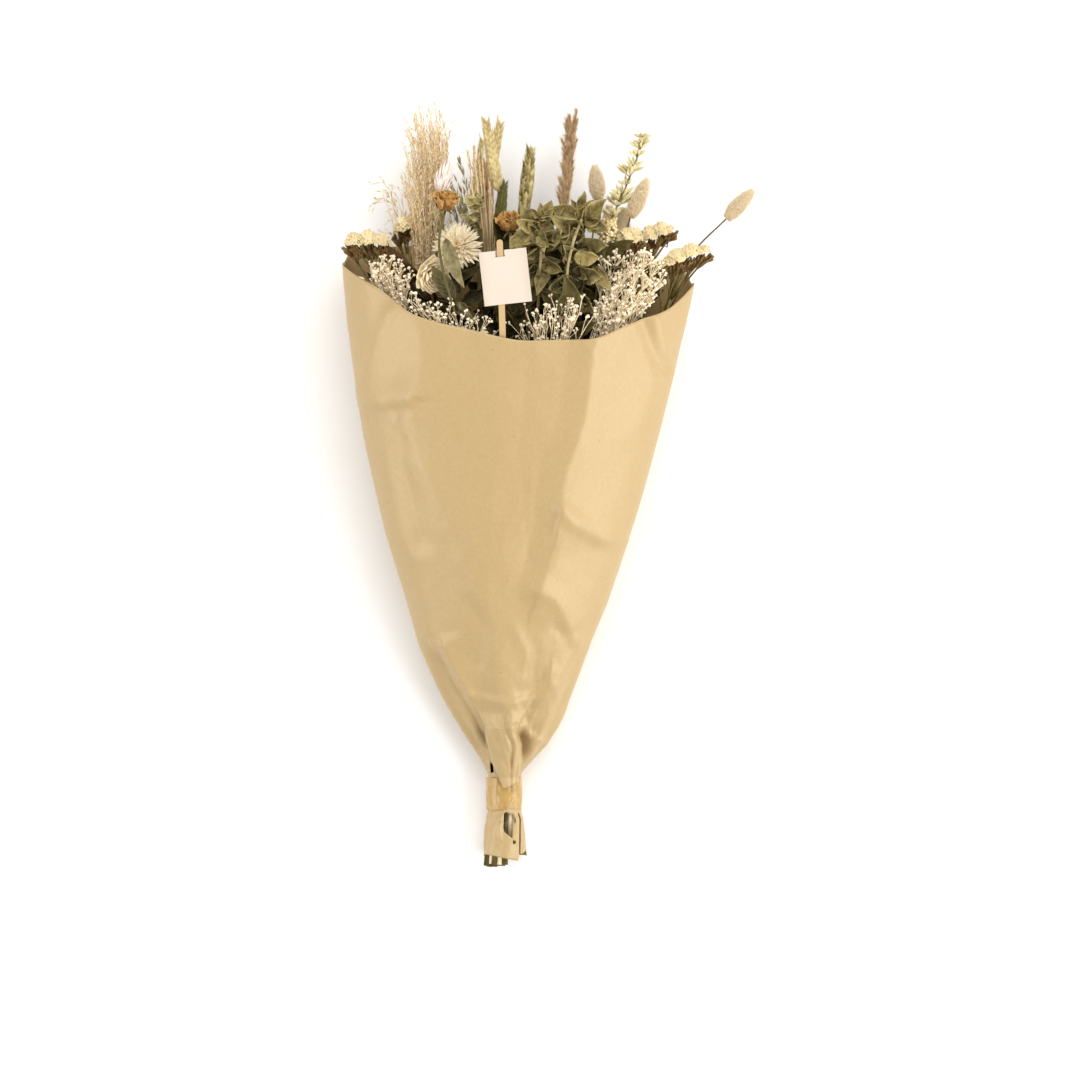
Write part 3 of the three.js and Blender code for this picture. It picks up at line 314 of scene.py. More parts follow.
class WrapSettings(bpy.types.PropertyGroup):
    """Paper wrap, tape, card and stick."""

    columns: IntProperty(name="Columns", description="Facets round the wrap", default=224, min=24)
    rows: IntProperty(name="Rows", description="Rows along the wrap", default=184, min=24)
    crinkle: FloatProperty(
        name="Crinkle", description="Height of the small creases", default=0.5 * MM, min=0, unit="LENGTH"
    )
    skin: FloatProperty(
        name="Paper", description="Thickness of the layered paper", default=PAPER_SKIN * MM, unit="LENGTH"
    )
    kraft: tint("Kraft paper", "b79c6e")
    tape: tint("Tape", "bb9858")
    card: tint("Card", "d6c8b7")
    stick: tint("Stick", "c2a376")
    band: tint("Rubber band", "8a6a3c")


class PlantSettings(bpy.types.PropertyGroup):
    """Colours of the plants and how densely their fine parts grow."""

    density: FloatProperty(
        name="Density", description="Share of the hairs, seeds and florets", default=1, min=0.1, max=1
    )
    green_stem: tint("Green stems", "857a42")
    pale_stem: tint("Pale stems", "cdbb8a")
    leaf: tint("Leaves", "a08d56")
    pale_leaf: tint("Pale leaves", "d8c88e")
    brown_leaf: tint("Brown leaf", "5e3a15")
    wheat: tint("Wheat", "d5c085")
    green_wheat: tint("Green wheat", "7d7c45")
    straw: tint("Straw", "f4dfb4")
    tan_plume: tint("Tan plume", "f7dfab")
    brown_plume: tint("Brown plume", "d4aa76")
    hare_tail: tint("Hare's tails", "ffecc6")
    pod: tint("Larkspur pods", "e6d7a4")
    yarrow: tint("Yarrow", "fdedc2")
    statice: tint("Statice florets", "f8e7ba")
    calyx: tint("Statice cups", "775628")
    strawflower: tint("Strawflower petals", "fff1d0")
    pink_strawflower: tint("Pink strawflower petals", "fdf0e6")
    rose: tint("Rose petals", "b88a48")
    gypsophila: tint("Gypsophila florets", "fff1d6")


class StageSettings(bpy.types.PropertyGroup):
    """Floor, lights and camera."""

    floor: tint("Floor", "fbfaf8")
    key: FloatProperty(name="Key light", description="Power of the key light", default=50, unit="POWER")
    fill: FloatProperty(name="Fill light", description="Power of the fill light", default=28, unit="POWER")
    top: FloatProperty(name="Top light", description="Power of the top light", default=30, unit="POWER")
    world: FloatProperty(name="Sky", description="Strength of the even light from all round", default=0.5)
    lens: FloatProperty(name="Lens", description="Focal length in metres", default=0.15, unit="CAMERA")


# ---------------- small tools


def draws(seed):
    """Repeatable random numbers from 0 to 1, as the solids draw them."""
    state = seed
    while True:
        state = (state * 1664525 + 1013904223) & 0xFFFFFFFF
        yield state / 4294967296


def xyz(x, y, z):
    """A place, or the places of many points from their columns."""
    return np.stack([x, y, z], axis=-1)


def around(turn, rise=0.0):
    """A direction that turns about +Y."""
    return xyz(math.cos(turn), rise, math.sin(turn))


def unit(vector):
    return vector / np.linalg.norm(vector)


def lerp(a, b, t):
    return a + (b - a) * t


def smoothstep(value, low, high):
    t = np.clip((value - low) / (high - low), 0, 1)
    return t * t * (3 - 2 * t)


def hermite(values, slopes, i, span, t):
    """Soft curve from value i to the next one, at a share t of the span between them."""
    return (
        values[i] * (2 * t**3 - 3 * t**2 + 1)
        + slopes[i] * span * (t**3 - 2 * t**2 + t)
        + values[i + 1] * (3 * t**2 - 2 * t**3)
        + slopes[i + 1] * span * (t**3 - t**2)
    )


def through(table, places, column=1):
    """Smooth curve through a table, without overshoot. The first column is the place."""
    knots = np.array([row[0] for row in table], float)
    values = np.array([row[column] for row in table], float)
    rise = np.diff(values) / np.diff(knots)
    slope = np.zeros(len(knots))
    before, after = rise[:-1], rise[1:]
    same = before * after > 0
    slope[1:-1][same] = 2 * (before * after)[same] / (before + after)[same]
    place = np.clip(places, knots[0], knots[-1])
    i = np.clip(np.searchsorted(knots, place, side="right") - 1, 0, len(knots) - 2)
    span = knots[i + 1] - knots[i]
    return hermite(values, slope, i, span, (place - knots[i]) / span)


def smooth_route(points, count):
    """Points evenly spaced along a soft curve through a few given ones."""
    points = np.array(points, float)
    steps = np.linalg.norm(np.diff(points, axis=0), axis=1)
    at = np.concatenate([[0], np.cumsum(steps)])
    tangents = np.gradient(points, at, axis=0)
    places = np.linspace(0, at[-1], count)
    i = np.clip(np.searchsorted(at, places, side="right") - 1, 0, len(at) - 2)
    span = (at[i + 1] - at[i])[:, None]
    return hermite(points, tangents, i, span, (places - at[i])[:, None] / span)


def in_polygon(x, y, corners):
    """Whether each point lies in a polygon."""
    inside = np.zeros(np.shape(x), bool)
    for (x0, y0), (x1, y1) in zip(corners, [*corners[1:], corners[0]]):
        crosses = (y0 > y) != (y1 > y)
        with np.errstate(divide="ignore", invalid="ignore"):
            inside ^= crosses & (x < x0 + (y - y0) * (x1 - x0) / (y1 - y0))
    return inside


# ---------------- shapes that are laid many times

TRAITS = ("tone", "along", "across")  # per vertex: shade of the copy, and the place on its shape


def new_object(name, data):
    """An object in the scene."""
    made = bpy.data.objects.new(name, data)
    bpy.context.scene.collection.objects.link(made)
    return made


def unit_shape(name, build):
    """The mesh of a small shape, made once. Its length runs along +Y from 0 to 1."""
    if name in bpy.data.meshes:
        return bpy.data.meshes[name]
    bm = bmesh.new()
    layers = {trait: bm.verts.layers.float.new(trait) for trait in TRAITS}
    build(bm)
    for vertex in bm.verts:
        vertex[layers["along"]] = vertex.co.y
        vertex[layers["across"]] = vertex.co.x
    mesh = bpy.data.meshes.new(name)
    bm.to_mesh(mesh)
    bm.free()
    return mesh


def rod(sides, rings):
    """A closed round rod of radius 1 with rings at even steps."""

    def build(bm):
        upright = Matrix.Translation((0, 0.5, 0)) @ Matrix.Rotation(math.radians(-90), 4, "X")
        ends = {"cap_ends": True, "cap_tris": False, "radius1": 1, "radius2": 1}
        bmesh.ops.create_cone(bm, segments=sides, depth=1, matrix=upright, **ends)
        long_edges = [e for e in bm.edges if abs(e.verts[0].co.y - e.verts[1].co.y) > 0.5]
        if rings > 2:
            bmesh.ops.subdivide_edges(bm, edges=long_edges, cuts=rings - 2, use_grid_fill=True)

    return unit_shape(f"rod_{sides}_{rings}", build)


def sheet(columns, rows):
    """A flat sheet from -1 to 1 across and 0 to 1 along, facing +Z."""

    def build(bm):
        bmesh.ops.create_grid(bm, x_segments=columns, y_segments=rows, size=1)
        bmesh.ops.translate(bm, vec=(0, 1, 0), verts=bm.verts)
        bmesh.ops.scale(bm, vec=(1, 0.5, 1), verts=bm.verts)

    return unit_shape(f"sheet_{columns}_{rows}", build)


def bead(detail):
    """A round bead of radius 1."""
    return unit_shape(
        f"bead_{detail}", lambda bm: bmesh.ops.create_icosphere(bm, subdivisions=detail, radius=1)
    )


class Bunch:
    """A mesh in the making, in millimetres: shapes are laid into it one by one."""

    def __init__(self):
        self.bm = bmesh.new()

    def lay(self, shape, rule, tone=0.5):
        """Adds a copy of a shape, moved by a rule on its array of places."""
        copy = shape.copy()
        count = len(copy.vertices)
        places = np.empty(count * 3, np.float32)
        copy.vertices.foreach_get("co", places)
        moved = rule(places.reshape(-1, 3).astype(float))
        copy.vertices.foreach_set("co", moved.astype(np.float32).ravel())
        copy.attributes["tone"].data.foreach_set("value", np.full(count, tone, np.float32))
        self.bm.from_mesh(copy, face_normals=False, vertex_normals=False)
        bpy.data.meshes.remove(copy)

    def blade(self, detail, form, frames, tone):
        """Adds a petal or leaf of a form, placed by each of its frames in turn."""

        def rule(co):
            bent = blade(co, **form)
            for where in frames:
                bent = placed(bent, where)
            return bent

        self.lay(sheet(*detail), rule, tone)

    def rod(self, route, radii, sides=4, tone=0.5, flat=1.0):
        """Adds a rod along a route, with a radius at each of its points."""
        self.lay(rod(sides, len(route)), along_route(route, radii, flat), tone)

    def finish(self, name, material, slot, nodes, thickness=0.0, smooth=True):
        """Makes the piece: an object at the origin that rides on the bouquet."""
        bmesh.ops.remove_doubles(self.bm, verts=self.bm.verts, dist=0.001)
        bmesh.ops.scale(self.bm, vec=(MM, MM, MM), verts=self.bm.verts)
        mesh = bpy.data.meshes.new(name)
        self.bm.to_mesh(mesh)
        self.bm.free()
        if smooth:
            mesh.shade_smooth()
        else:
            mesh.shade_flat()
        mesh.materials.append(material)
        piece = new_object(name, mesh)
        if thickness:
            solid = piece.modifiers.new("Thickness", "SOLIDIFY")
            solid.thickness = thickness * MM
            solid.offset = 0
        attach(piece, "root")
        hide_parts(*nodes)
        return piece


def along_route(route, radii, flat=1.0):
    """Rule that lays a unit rod along a route, with a radius at each point."""
    route = np.asarray(route, float)
    radii = np.broadcast_to(radii, len(route))
    step = np.gradient(route, axis=0)
    step /= np.linalg.norm(step, axis=1)[:, None]
    whole = unit(route[-1] - route[0])
    across = np.cross(step, UP if abs(whole[2]) > 0.7 else FRONT)
    across /= np.linalg.norm(across, axis=1)[:, None]
    out = np.cross(across, step)

    def rule(co):
        ring = np.rint(co[:, 1] * (len(route) - 1)).astype(int)
        side = co[:, :1] * across[ring] + co[:, 2:] * flat * out[ring]
        return route[ring] + radii[ring][:, None] * side

    return rule


def pose(origin, direction, facing=FRONT):
    """Frame whose Y runs along a direction and whose Z faces the viewer as far as it can."""
    y = unit(np.asarray(direction, float))
    x = unit(np.cross(y, facing))
    return np.asarray(origin, float), np.stack([x, y, np.cross(x, y)])


def between(start, end, facing=FRONT):
    """The frame of what runs from one place to another, and its length."""
    start, end = np.array(start, float), np.array(end, float)
    return pose(start, end - start, facing), np.linalg.norm(end - start)


def placed(co, where):
    """Places in the bouquet of points given in a frame."""
    origin, axes = where
    return origin + co @ axes


def ovate(along):
    """Outline of a leaf that is widest below its middle."""
    return np.sin(np.pi * np.minimum(1, along**0.75)) ** 0.8


def lance(along):
    """Outline of a narrow pointed petal that is widest past its middle."""
    return np.clip(0.38 + 1.1 * along - 0.2 * along**2, 0, 1) * np.clip((1 - along) * 3.4, 0, 1) ** 0.75


def blade(co, length, width, outline, curl=0.0, fold=0.0, cup=0.0, ruffle=0.0, phase=0.0):
    """Bends a unit sheet to a leaf or petal along +Y that faces +Z."""
    across, along = co[:, 0], co[:, 1]
    side = across * width / 2 * outline(along)
    turn = curl * along
    reach = length * np.sin(turn) / curl if curl else length * along
    rise = length * (1 - np.cos(turn)) / curl if curl else 0 * along
    lift = np.abs(side) * fold + cup * across**2 * outline(along)
    lift += ruffle * np.abs(across) ** 1.5 * np.sin(along * 11 + phase + 2.6 * across)
    return xyz(side, reach - lift * np.sin(turn), rise + lift * np.cos(turn))


# ---------------- stems


def fan_out(height):
    """How far the fan of stems has opened at a height: every stem leaves the neck by this rule."""
    return np.hypot(np.maximum(0, height - NECK_TOP), FAN_BEND) - FAN_BEND


def cut_end(plant):
    """Middle of the cut lower end of a plant's stem."""
    places = np.array([v.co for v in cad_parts[plant.stem].data.vertices]) / MM
    low = places[:, 1].min()
    return places[places[:, 1] < low + 0.6].mean(axis=0)


def stem_route(plant, onward=()):
    """The stem from its cut end to the foot of its head, and on through further points."""
    end = cut_end(plant)
    first = plant.bends[0]
    above = NECK_TOP + np.linspace(0, 1, 15) ** 2 * (first[1] - NECK_TOP)
    heights = np.concatenate([[end[1], -322, -300], above])
    share = (fan_out(heights) / fan_out(first[1]))[:, None]
    route = xyz(np.full_like(heights, end[0]), heights, np.full_like(heights, end[2]))
    route[:, [0, 2]] += (first[[0, 2]] - end[[0, 2]]) * share
    for i, flare in ((0, 0.34), (1, 0.22)):
        route[i, 0] += flare * (end[0] - NECK_X) - 5 * flare
        route[i, 2] += 0.5 * flare * (end[2] - NECK_Z)
    further = [*plant.bends[1:], *onward]
    if further:
        tail = smooth_route([route[-2], route[-1], *further], 5 * len(further) + 6)
        route = np.concatenate([route[:-1], tail[np.linalg.norm(tail - route[-2], axis=1) > 1]])
    return route


def stem_at(plant, height):
    """Where a plant's stem is at a height of the fan."""
    end = cut_end(plant)
    first = plant.bends[0]
    share = fan_out(height) / fan_out(first[1])
    return xyz(end[0] + (first[0] - end[0]) * share, height, end[2] + (first[2] - end[2]) * share)


def lay_stem(bunch, plant, thick, thin, onward=()):
    """Adds a plant's stem, a little uneven, as dried stems are."""
    route = stem_route(plant, onward)
    tone = (abs(plant.tip[0]) * 7.3) % 1
    shares = np.linspace(0, 1, len(route))
    radii = lerp(thick, thin, np.minimum(1, shares * 1.6)) * (1 + 0.05 * np.sin(shares * 40 + tone * 9))
    radii[:4] = thick * np.array([1.75, 1.6, 1.4, 1.15])
    bunch.rod(route, radii, 8, tone)


def bare_stem(plant, material, slot, thick, thin):
    """A stem that is a piece of its own."""
    stalk = Bunch()
    lay_stem(stalk, plant, thick, thin)
    stalk.finish(f"{plant.name}_stalk", material, slot, [plant.stem])


# ---------------- materials

FLOAT, COLOUR = "NodeSocketFloat", "NodeSocketColor"


def new_group(name, inputs, outputs):
    """An empty node group, and the sockets inside it that bring values in and take them out."""
    group = bpy.data.node_groups.new(name, "ShaderNodeTree")
    for label, value in inputs.items():
        kind = FLOAT if isinstance(value, float) else COLOUR
        socket = group.interface.new_socket(label, in_out="INPUT", socket_type=kind)
        socket.default_value = value
    for label, kind in outputs.items():
        group.interface.new_socket(label, in_out="OUTPUT", socket_type=kind)
    return group, group.nodes.new("NodeGroupInput").outputs, group.nodes.new("NodeGroupOutput").inputs


def feed(tree, socket, value):
    """Sets a socket to a number, or links it to where its value comes from."""
    if isinstance(value, (int, float)):
        socket.default_value = value
    else:
        tree.links.new(value, socket)


def sum_node(tree, operation, *values):
    """The result of a Math node."""
    node = tree.nodes.new("ShaderNodeMath")
    node.operation = operation
    for socket, value in zip(node.inputs, values):
        feed(tree, socket, value)
    return node.outputs[0]


def mix_colours(tree, share, first, second):
    """The result of a Mix node: the first colour at share 0, the second one at 1."""
    node = tree.nodes.new("ShaderNodeMix")
    node.data_type = "RGBA"
    for socket, value in ((0, share), (6, first), (7, second)):
        feed(tree, node.inputs[socket], value)
    return node.outputs[2]


def trait_value(tree, name):
    """A value that the vertices carry."""
    node = tree.nodes.new("ShaderNodeAttribute")
    node.attribute_name = name
    return node.outputs["Fac"]


def mottle(tree, scale, detail=3.0, stretch=(1, 1, 1)):
    """A noise pattern fixed to the piece."""
    coordinates = tree.nodes.new("ShaderNodeTexCoord")
    mapping = tree.nodes.new("ShaderNodeMapping")
    mapping.inputs["Scale"].default_value = stretch
    pattern = tree.nodes.new("ShaderNodeTexNoise")
    pattern.inputs["Detail"].default_value = detail
    tree.links.new(coordinates.outputs["Object"], mapping.inputs["Vector"])
    tree.links.new(mapping.outputs["Vector"], pattern.inputs["Vector"])
    feed(tree, pattern.inputs["Scale"], scale)
    return pattern.outputs["Fac"]


def dry_tint_group():
    """Colour of a dried plant: shades from copy to copy, blotches, a tip and edge tint and a base
    darkening; some materials use these as painted shade and painted highlight.
    """
    group, enter, leave = new_group(
        "Dry Tint",
        {
            "Colour": (0.5, 0.5, 0.3, 1),
            "Shade": (0.3, 0.25, 0.1, 1),
            "Tip": (0.6, 0.5, 0.3, 1),
            "Tip Amount": 0.0,
            "Edge Amount": 0.0,
            "Base Amount": 0.0,
            "Tone Amount": 0.6,
            "Blotch Amount": 0.6,
            "Blotch Scale": 200.0,
        },
        {"Color": COLOUR},
    )
    blotch = sum_node(group, "SUBTRACT", mottle(group, enter["Blotch Scale"]), 0.5)
    toned = sum_node(group, "MULTIPLY", trait_value(group, "tone"), enter["Tone Amount"])
    mixed = sum_node(group, "MULTIPLY_ADD", blotch, enter["Blotch Amount"], toned)
    along = trait_value(group, "along")
    base = sum_node(group, "POWER", sum_node(group, "SUBTRACT", 1.0, along), 2.0)
    based = sum_node(group, "MULTIPLY_ADD", base, enter["Base Amount"], mixed)
    shaded = mix_colours(group, based, enter["Colour"], enter["Shade"])
    tip = sum_node(group, "MULTIPLY", sum_node(group, "POWER", along, 3.0), enter["Tip Amount"])
    rim = sum_node(group, "POWER", sum_node(group, "ABSOLUTE", trait_value(group, "across")), 5.0)
    edge = sum_node(group, "MULTIPLY_ADD", rim, enter["Edge Amount"], tip)
    coloured = mix_colours(group, edge, shaded, enter["Tip"])
    group.links.new(coloured, leave["Color"])
    return group


def fibre_streaks_group():
    """Fine streaks along the length of stems, husks and petals."""
    group, enter, leave = new_group("Fibre Streaks", {"Scale": 900.0}, {"Height": FLOAT})
    streaks = mottle(group, enter["Scale"], 2.0, (1, 0.12, 1))
    group.links.new(streaks, leave["Height"])
    return group


def petal_ribs_group():
    """Fine ribs along a petal or leaf, in its own coordinates."""
    group, enter, leave = new_group("Petal Ribs", {"Count": 5.0}, {"Height": FLOAT})
    turns = sum_node(group, "MULTIPLY", trait_value(group, "across"), enter["Count"])
    ribs = sum_node(group, "SINE", sum_node(group, "MULTIPLY", turns, math.pi))
    group.links.new(sum_node(group, "MULTIPLY_ADD", ribs, 0.5, 0.5), leave["Height"])
    return group


def leaf_veins_group():
    """A midrib with side veins that rise towards the leaf's edge."""
    group, enter, leave = new_group("Leaf Veins", {"Count": 7.0, "Slant": 1.6}, {"Veins": FLOAT})
    across = sum_node(group, "ABSOLUTE", trait_value(group, "across"))
    rise = sum_node(group, "MULTIPLY", trait_value(group, "along"), enter["Count"])
    slanted = sum_node(group, "SUBTRACT", rise, sum_node(group, "MULTIPLY", across, enter["Slant"]))
    saw = sum_node(group, "ABSOLUTE", sum_node(group, "SUBTRACT", sum_node(group, "FRACT", slanted), 0.5))
    side = sum_node(group, "SMOOTH_MIN", sum_node(group, "MULTIPLY", saw, 7.0), 1.0, 0.3)
    middle = sum_node(group, "MINIMUM", sum_node(group, "MULTIPLY", across, 14.0), 1.0)
    between_veins = sum_node(group, "MULTIPLY", side, middle)
    group.links.new(sum_node(group, "SUBTRACT", 1.0, between_veins), leave["Veins"])
    return group


def kraft_fibres_group():
    """Kraft paper: crossed fibres, soft clouds and a few dark flecks."""
    group, enter, leave = new_group(
        "Kraft Fibres",
        {"Colour": (0.7, 0.5, 0.25, 1), "Fibre": (0.5, 0.32, 0.15, 1), "Fleck": (0.2, 0.12, 0.05, 1)},
        {"Color": COLOUR, "Height": FLOAT},
    )
    clouds = mottle(group, 16.0, 2.0)
    lengthwise = mottle(group, 700.0, 4.0, (1, 0.35, 1))
    crosswise = mottle(group, 450.0, 4.0, (0.6, 1, 1))
    fibres = sum_node(group, "MULTIPLY_ADD", lengthwise, 0.6, sum_node(group, "MULTIPLY", crosswise, 0.4))
    sharpened = sum_node(group, "MULTIPLY", sum_node(group, "SUBTRACT", fibres, 0.44), 1.5)
    share = sum_node(group, "MULTIPLY_ADD", clouds, 0.25, sharpened)
    toned = mix_colours(group, share, enter["Colour"], enter["Fibre"])
    coordinates = group.nodes.new("ShaderNodeTexCoord")
    cells = group.nodes.new("ShaderNodeTexVoronoi")
    cells.inputs["Scale"].default_value = 70
    group.links.new(coordinates.outputs["Object"], cells.inputs["Vector"])
    fleck = sum_node(group, "LESS_THAN", cells.outputs["Distance"], 0.035)
    faint = sum_node(group, "MULTIPLY", fleck, 0.7)
    group.links.new(mix_colours(group, faint, toned, enter["Fleck"]), leave["Color"])
    group.links.new(fibres, leave["Height"])
    return group


def use_group(tree, make, **values):
    """Places a node group, which is built once and used by many materials, with its own values."""
    name = make.__name__.removesuffix("_group").replace("_", " ").title()
    node = tree.nodes.new("ShaderNodeGroup")
    node.node_tree = bpy.data.node_groups.get(name) or make()
    for label, value in values.items():
        socket = node.inputs[label.replace("_", " ")]
        socket.default_value = value if isinstance(value, float) else (*value, 1)
    return node


def start_material(name, roughness):
    """A material with its shader, whose own numbers are plain socket values."""
    material = bpy.data.materials.new(name)
    material.use_nodes = True
    shader = material.node_tree.nodes["Principled BSDF"]
    shader.inputs["Roughness"].default_value = roughness
    shader.inputs["Specular IOR Level"].default_value = 0.3
    return material, material.node_tree, shader


def tint_base(tree, shader, **values):
    """Colours a shader by the Dry Tint group."""
    tint_node = use_group(tree, dry_tint_group, **values)
    tree.links.new(tint_node.outputs["Color"], shader.inputs["Base Color"])


def add_bump(tree, shader, height, strength, distance):
    """Raises a surface by a pattern, to a depth in millimetres."""
    bump = tree.nodes.new("ShaderNodeBump")
    bump.inputs["Strength"].default_value = strength
    bump.inputs["Distance"].default_value = distance * MM
    tree.links.new(height, bump.inputs["Height"])
    tree.links.new(bump.outputs["Normal"], shader.inputs["Normal"])


def dark(colour, share=0.45):
    """A deeper and warmer shade of a colour."""
    return [colour[0] * share, colour[1] * share * 0.9, colour[2] * share * 0.8]


def dry_material(
    name, colour, shade=None, tip=None, relief=fibre_streaks_group, roughness=0.75, bump=0.5, down=0, **more
):
    """Dried stems, husks, petals and florets. Shade and tip are codes of display colours.

    Down is the soft sheen of hairy ones.
    """
    material, tree, shader = start_material(name, roughness)
    shader.inputs["Sheen Weight"].default_value = down
    shader.inputs["Sheen Roughness"].default_value = 0.5
    shader.inputs["Sheen Tint"].default_value = (*colour, 1)
    shade = hue(shade) if shade else dark(colour)
    tint_base(tree, shader, Colour=colour, Shade=shade, Tip=hue(tip) if tip else colour, **more)
    add_bump(tree, shader, use_group(tree, relief).outputs[0], bump, 0.25)
    return material


def stem_material(name, colour):
    """A stem that darkens towards its cut end."""
    return dry_material(name, colour, "57491f", Base_Amount=0.35, Tone_Amount=1.1)


def leaf_material(name, colour, shade, vein, edge):
    """A dried leaf with pale veins and a browned edge."""
    material, tree, shader = start_material(name, 0.62)
    amounts = {"Tip_Amount": 0.35, "Edge_Amount": 0.2, "Tone_Amount": 1.0, "Blotch_Amount": 2.2}
    amounts["Blotch_Scale"] = 190.0
    tint_node = use_group(tree, dry_tint_group, Colour=colour, Shade=hue(shade), Tip=hue(edge), **amounts)
    veins = use_group(tree, leaf_veins_group)
    faint = sum_node(tree, "MULTIPLY", veins.outputs["Veins"], 0.26)
    vein_colour = tree.nodes.new("ShaderNodeRGB")
    vein_colour.outputs[0].default_value = (*hue(vein), 1)
    mixed = mix_colours(tree, faint, tint_node.outputs["Color"], vein_colour.outputs[0])
    tree.links.new(mixed, shader.inputs["Base Color"])
    crumple = mottle(tree, 420.0, 4.0)
    height = sum_node(tree, "MULTIPLY_ADD", veins.outputs["Veins"], -0.6, crumple)
    add_bump(tree, shader, height, 0.6, 0.5)
    return material


def kraft_material(colour):
    """Kraft paper with a faint shine."""
    material, tree, shader = start_material("Kraft Paper", 0.46)
    shader.inputs["Specular IOR Level"].default_value = 0.75
    shader.inputs["Specular Tint"].default_value = (1, 0.9, 0.72, 1)
    fibre = [c * s for c, s in zip(colour, (0.84, 0.8, 0.72))]
    surface = use_group(tree, kraft_fibres_group, Colour=colour, Fibre=fibre, Fleck=dark(colour, 0.35))
    tree.links.new(surface.outputs["Color"], shader.inputs["Base Color"])
    add_bump(tree, shader, surface.outputs["Height"], 0.35, 0.25)
    return material


def tape_material(colour):
    """Brown packing tape that lies wrinkled over the paper."""
    material, tree, shader = start_material("Packing Tape", 0.3)
    shade = dark(colour, 0.7)
    tint_base(tree, shader, Colour=colour, Shade=shade, Blotch_Amount=1.6, Blotch_Scale=110.0)
    rough = sum_node(tree, "MULTIPLY_ADD", mottle(tree, 300.0), 0.35, 0.15)
    tree.links.new(rough, shader.inputs["Roughness"])
    shader.inputs["Coat Weight"].default_value = 0.3
    add_bump(tree, shader, mottle(tree, 130.0), 0.35, 0.5)
    return material


def card_material(colour):
    """Plain card, darker towards its two side edges."""
    material, tree, shader = start_material("Card", 0.6)
    shade, edge = [c * 0.9 for c in colour], [colour[0] * 0.8, colour[1] * 0.7, colour[2] * 0.62]
    amounts = {"Edge_Amount": 0.4, "Blotch_Amount": 0.5, "Blotch_Scale": 40.0}
    tint_base(tree, shader, Colour=colour, Shade=shade, Tip=edge, **amounts)
    add_bump(tree, shader, mottle(tree, 1400.0), 0.15, 0.1)
    return material


# ---------------- wrap and tape


def fold_lift(x, y):
    """How far the folds of the front raise the paper."""
    lift = np.zeros_like(x)
    for height, left_reach, right_reach, points in FOLDS:
        nearest = np.full_like(x, 1e9)
        side = np.zeros_like(x)
        for (x0, y0), (x1, y1) in zip(points, points[1:]):
            dx, dy = x1 - x0, y1 - y0
            t = np.clip(((x - x0) * dx + (y - y0) * dy) / (dx * dx + dy * dy), 0, 1)
            ax, ay = x - x0 - t * dx, y - y0 - t * dy
            away = np.hypot(ax, ay)
            closer = away < nearest
            nearest = np.where(closer, away, nearest)
            side = np.where(closer, np.sign(dx * ay - dy * ax), side)
        reach = np.where(side > 0, left_reach, right_reach)
        lift += height * np.maximum(0, 1 - nearest / reach) ** 1.25
    return lift


def section_point(angle, height):
    """A point of the wrap's section at a height, before its folds."""
    left, right, back, front, square = (through(WRAP_SECTIONS, height, c) for c in range(1, 6))
    c, s = np.cos(angle), np.sin(angle)
    power = 2 / np.where(s < 0, square, 2)
    x = (left + right) / 2 + (right - left) / 2 * np.sign(c) * np.abs(c) ** power
    z = (back + front) / 2 + (front - back) / 2 * np.sign(s) * np.abs(s) ** power
    return x, z


def wrap_height(angle, share):
    """Height of a row of the wrap: level rows below, and rows that follow the edge above."""
    shares = [row[0] for row in WRAP_ROWS]
    level = np.interp(share, shares[:-1], [row[1] for row in WRAP_ROWS[:-1]])
    start_share, start = WRAP_ROWS[-2]
    rim = through(RIM, np.degrees(angle) % 360)
    rim = rim + 0.8 * np.sin(3 * angle + 1) + 0.5 * np.sin(11 * angle)
    upper = start + (rim - start) * (share - start_share) / (1 - start_share)
    cut = np.interp(np.cos(angle), [-1, -0.8, 0.58, 0.66, 1], [1.5, 1.5, -3, 1.5, 4.5])
    level = level + cut * np.maximum(0, 1 - share / 0.14) * (np.sin(angle) > 0)
    return np.where(share > start_share, upper, level)


def ridges(places, frequency, offset=0.0):
    """Sharp ridges between soft hollows, from 0 to about 1."""
    shift = Vector((offset, 2 * offset, 3 * offset))
    return np.array([1 - 2 * abs(noise.noise(Vector(p) * frequency + shift)) for p in places])


def crinkles(x, y, z, height):
    """Creases of handled paper: broad ones everywhere and small ones near the gathered end."""
    places = xyz(x, y * 0.6, z)
    near_neck = 1 - smoothstep(y, -235, -130)
    broad = (ridges(places, 0.02) - 0.6) * (3.2 - 1.2 * near_neck)
    fine = (ridges(places, 0.055, 7) - 0.6) * lerp(0.7, 2.0, near_neck)
    finest = (ridges(places, 0.13, 3) - 0.6) * lerp(0.15, 1.1, near_neck)
    return height * (broad + fine + finest)


def wrap_point(angle, share, crinkle):
    """A point of the paper's outer face."""
    height = wrap_height(angle, share)
    step = 0.02
    x, z = section_point(angle, height)
    xa, za = section_point(angle - step, height)
    xb, zb = section_point(angle + step, height)
    size = np.hypot(xb - xa, zb - za)
    nx, nz = (zb - za) / size, -(xb - xa) / size
    gathered = smoothstep(height, NECK_TOP - 4, NECK_TOP + 30)
    lower = 1 - smoothstep(height, -220, -130)
    pleat = PLEAT_DEPTH * gathered * lower * np.sin(PLEATS * angle + np.sin(2 * angle))
    in_front = np.maximum(0, np.sin(angle)) ** 0.7
    at_foot = 1 - smoothstep(height, -304, -297)
    out = fold_lift(x, height) * in_front * np.maximum(gathered, 1 - smoothstep(height, -297, -293))
    out += pleat * (0.3 + 0.7 * in_front) * gathered
    out += crinkles(x, height, z, crinkle) * np.maximum(gathered, at_foot * 0.8) * (0.3 + 0.7 * in_front)
    out += at_foot * 0.5 * np.sin(7 * angle + 0.16 * height)
    near_rim = smoothstep(share, 0.9, 1)
    out += near_rim * (1.2 * np.sin(5 * angle + 0.6) + 0.7 * np.sin(13 * angle))
    return xyz(x + nx * out, height, np.maximum(z + nz * out, 0.02))


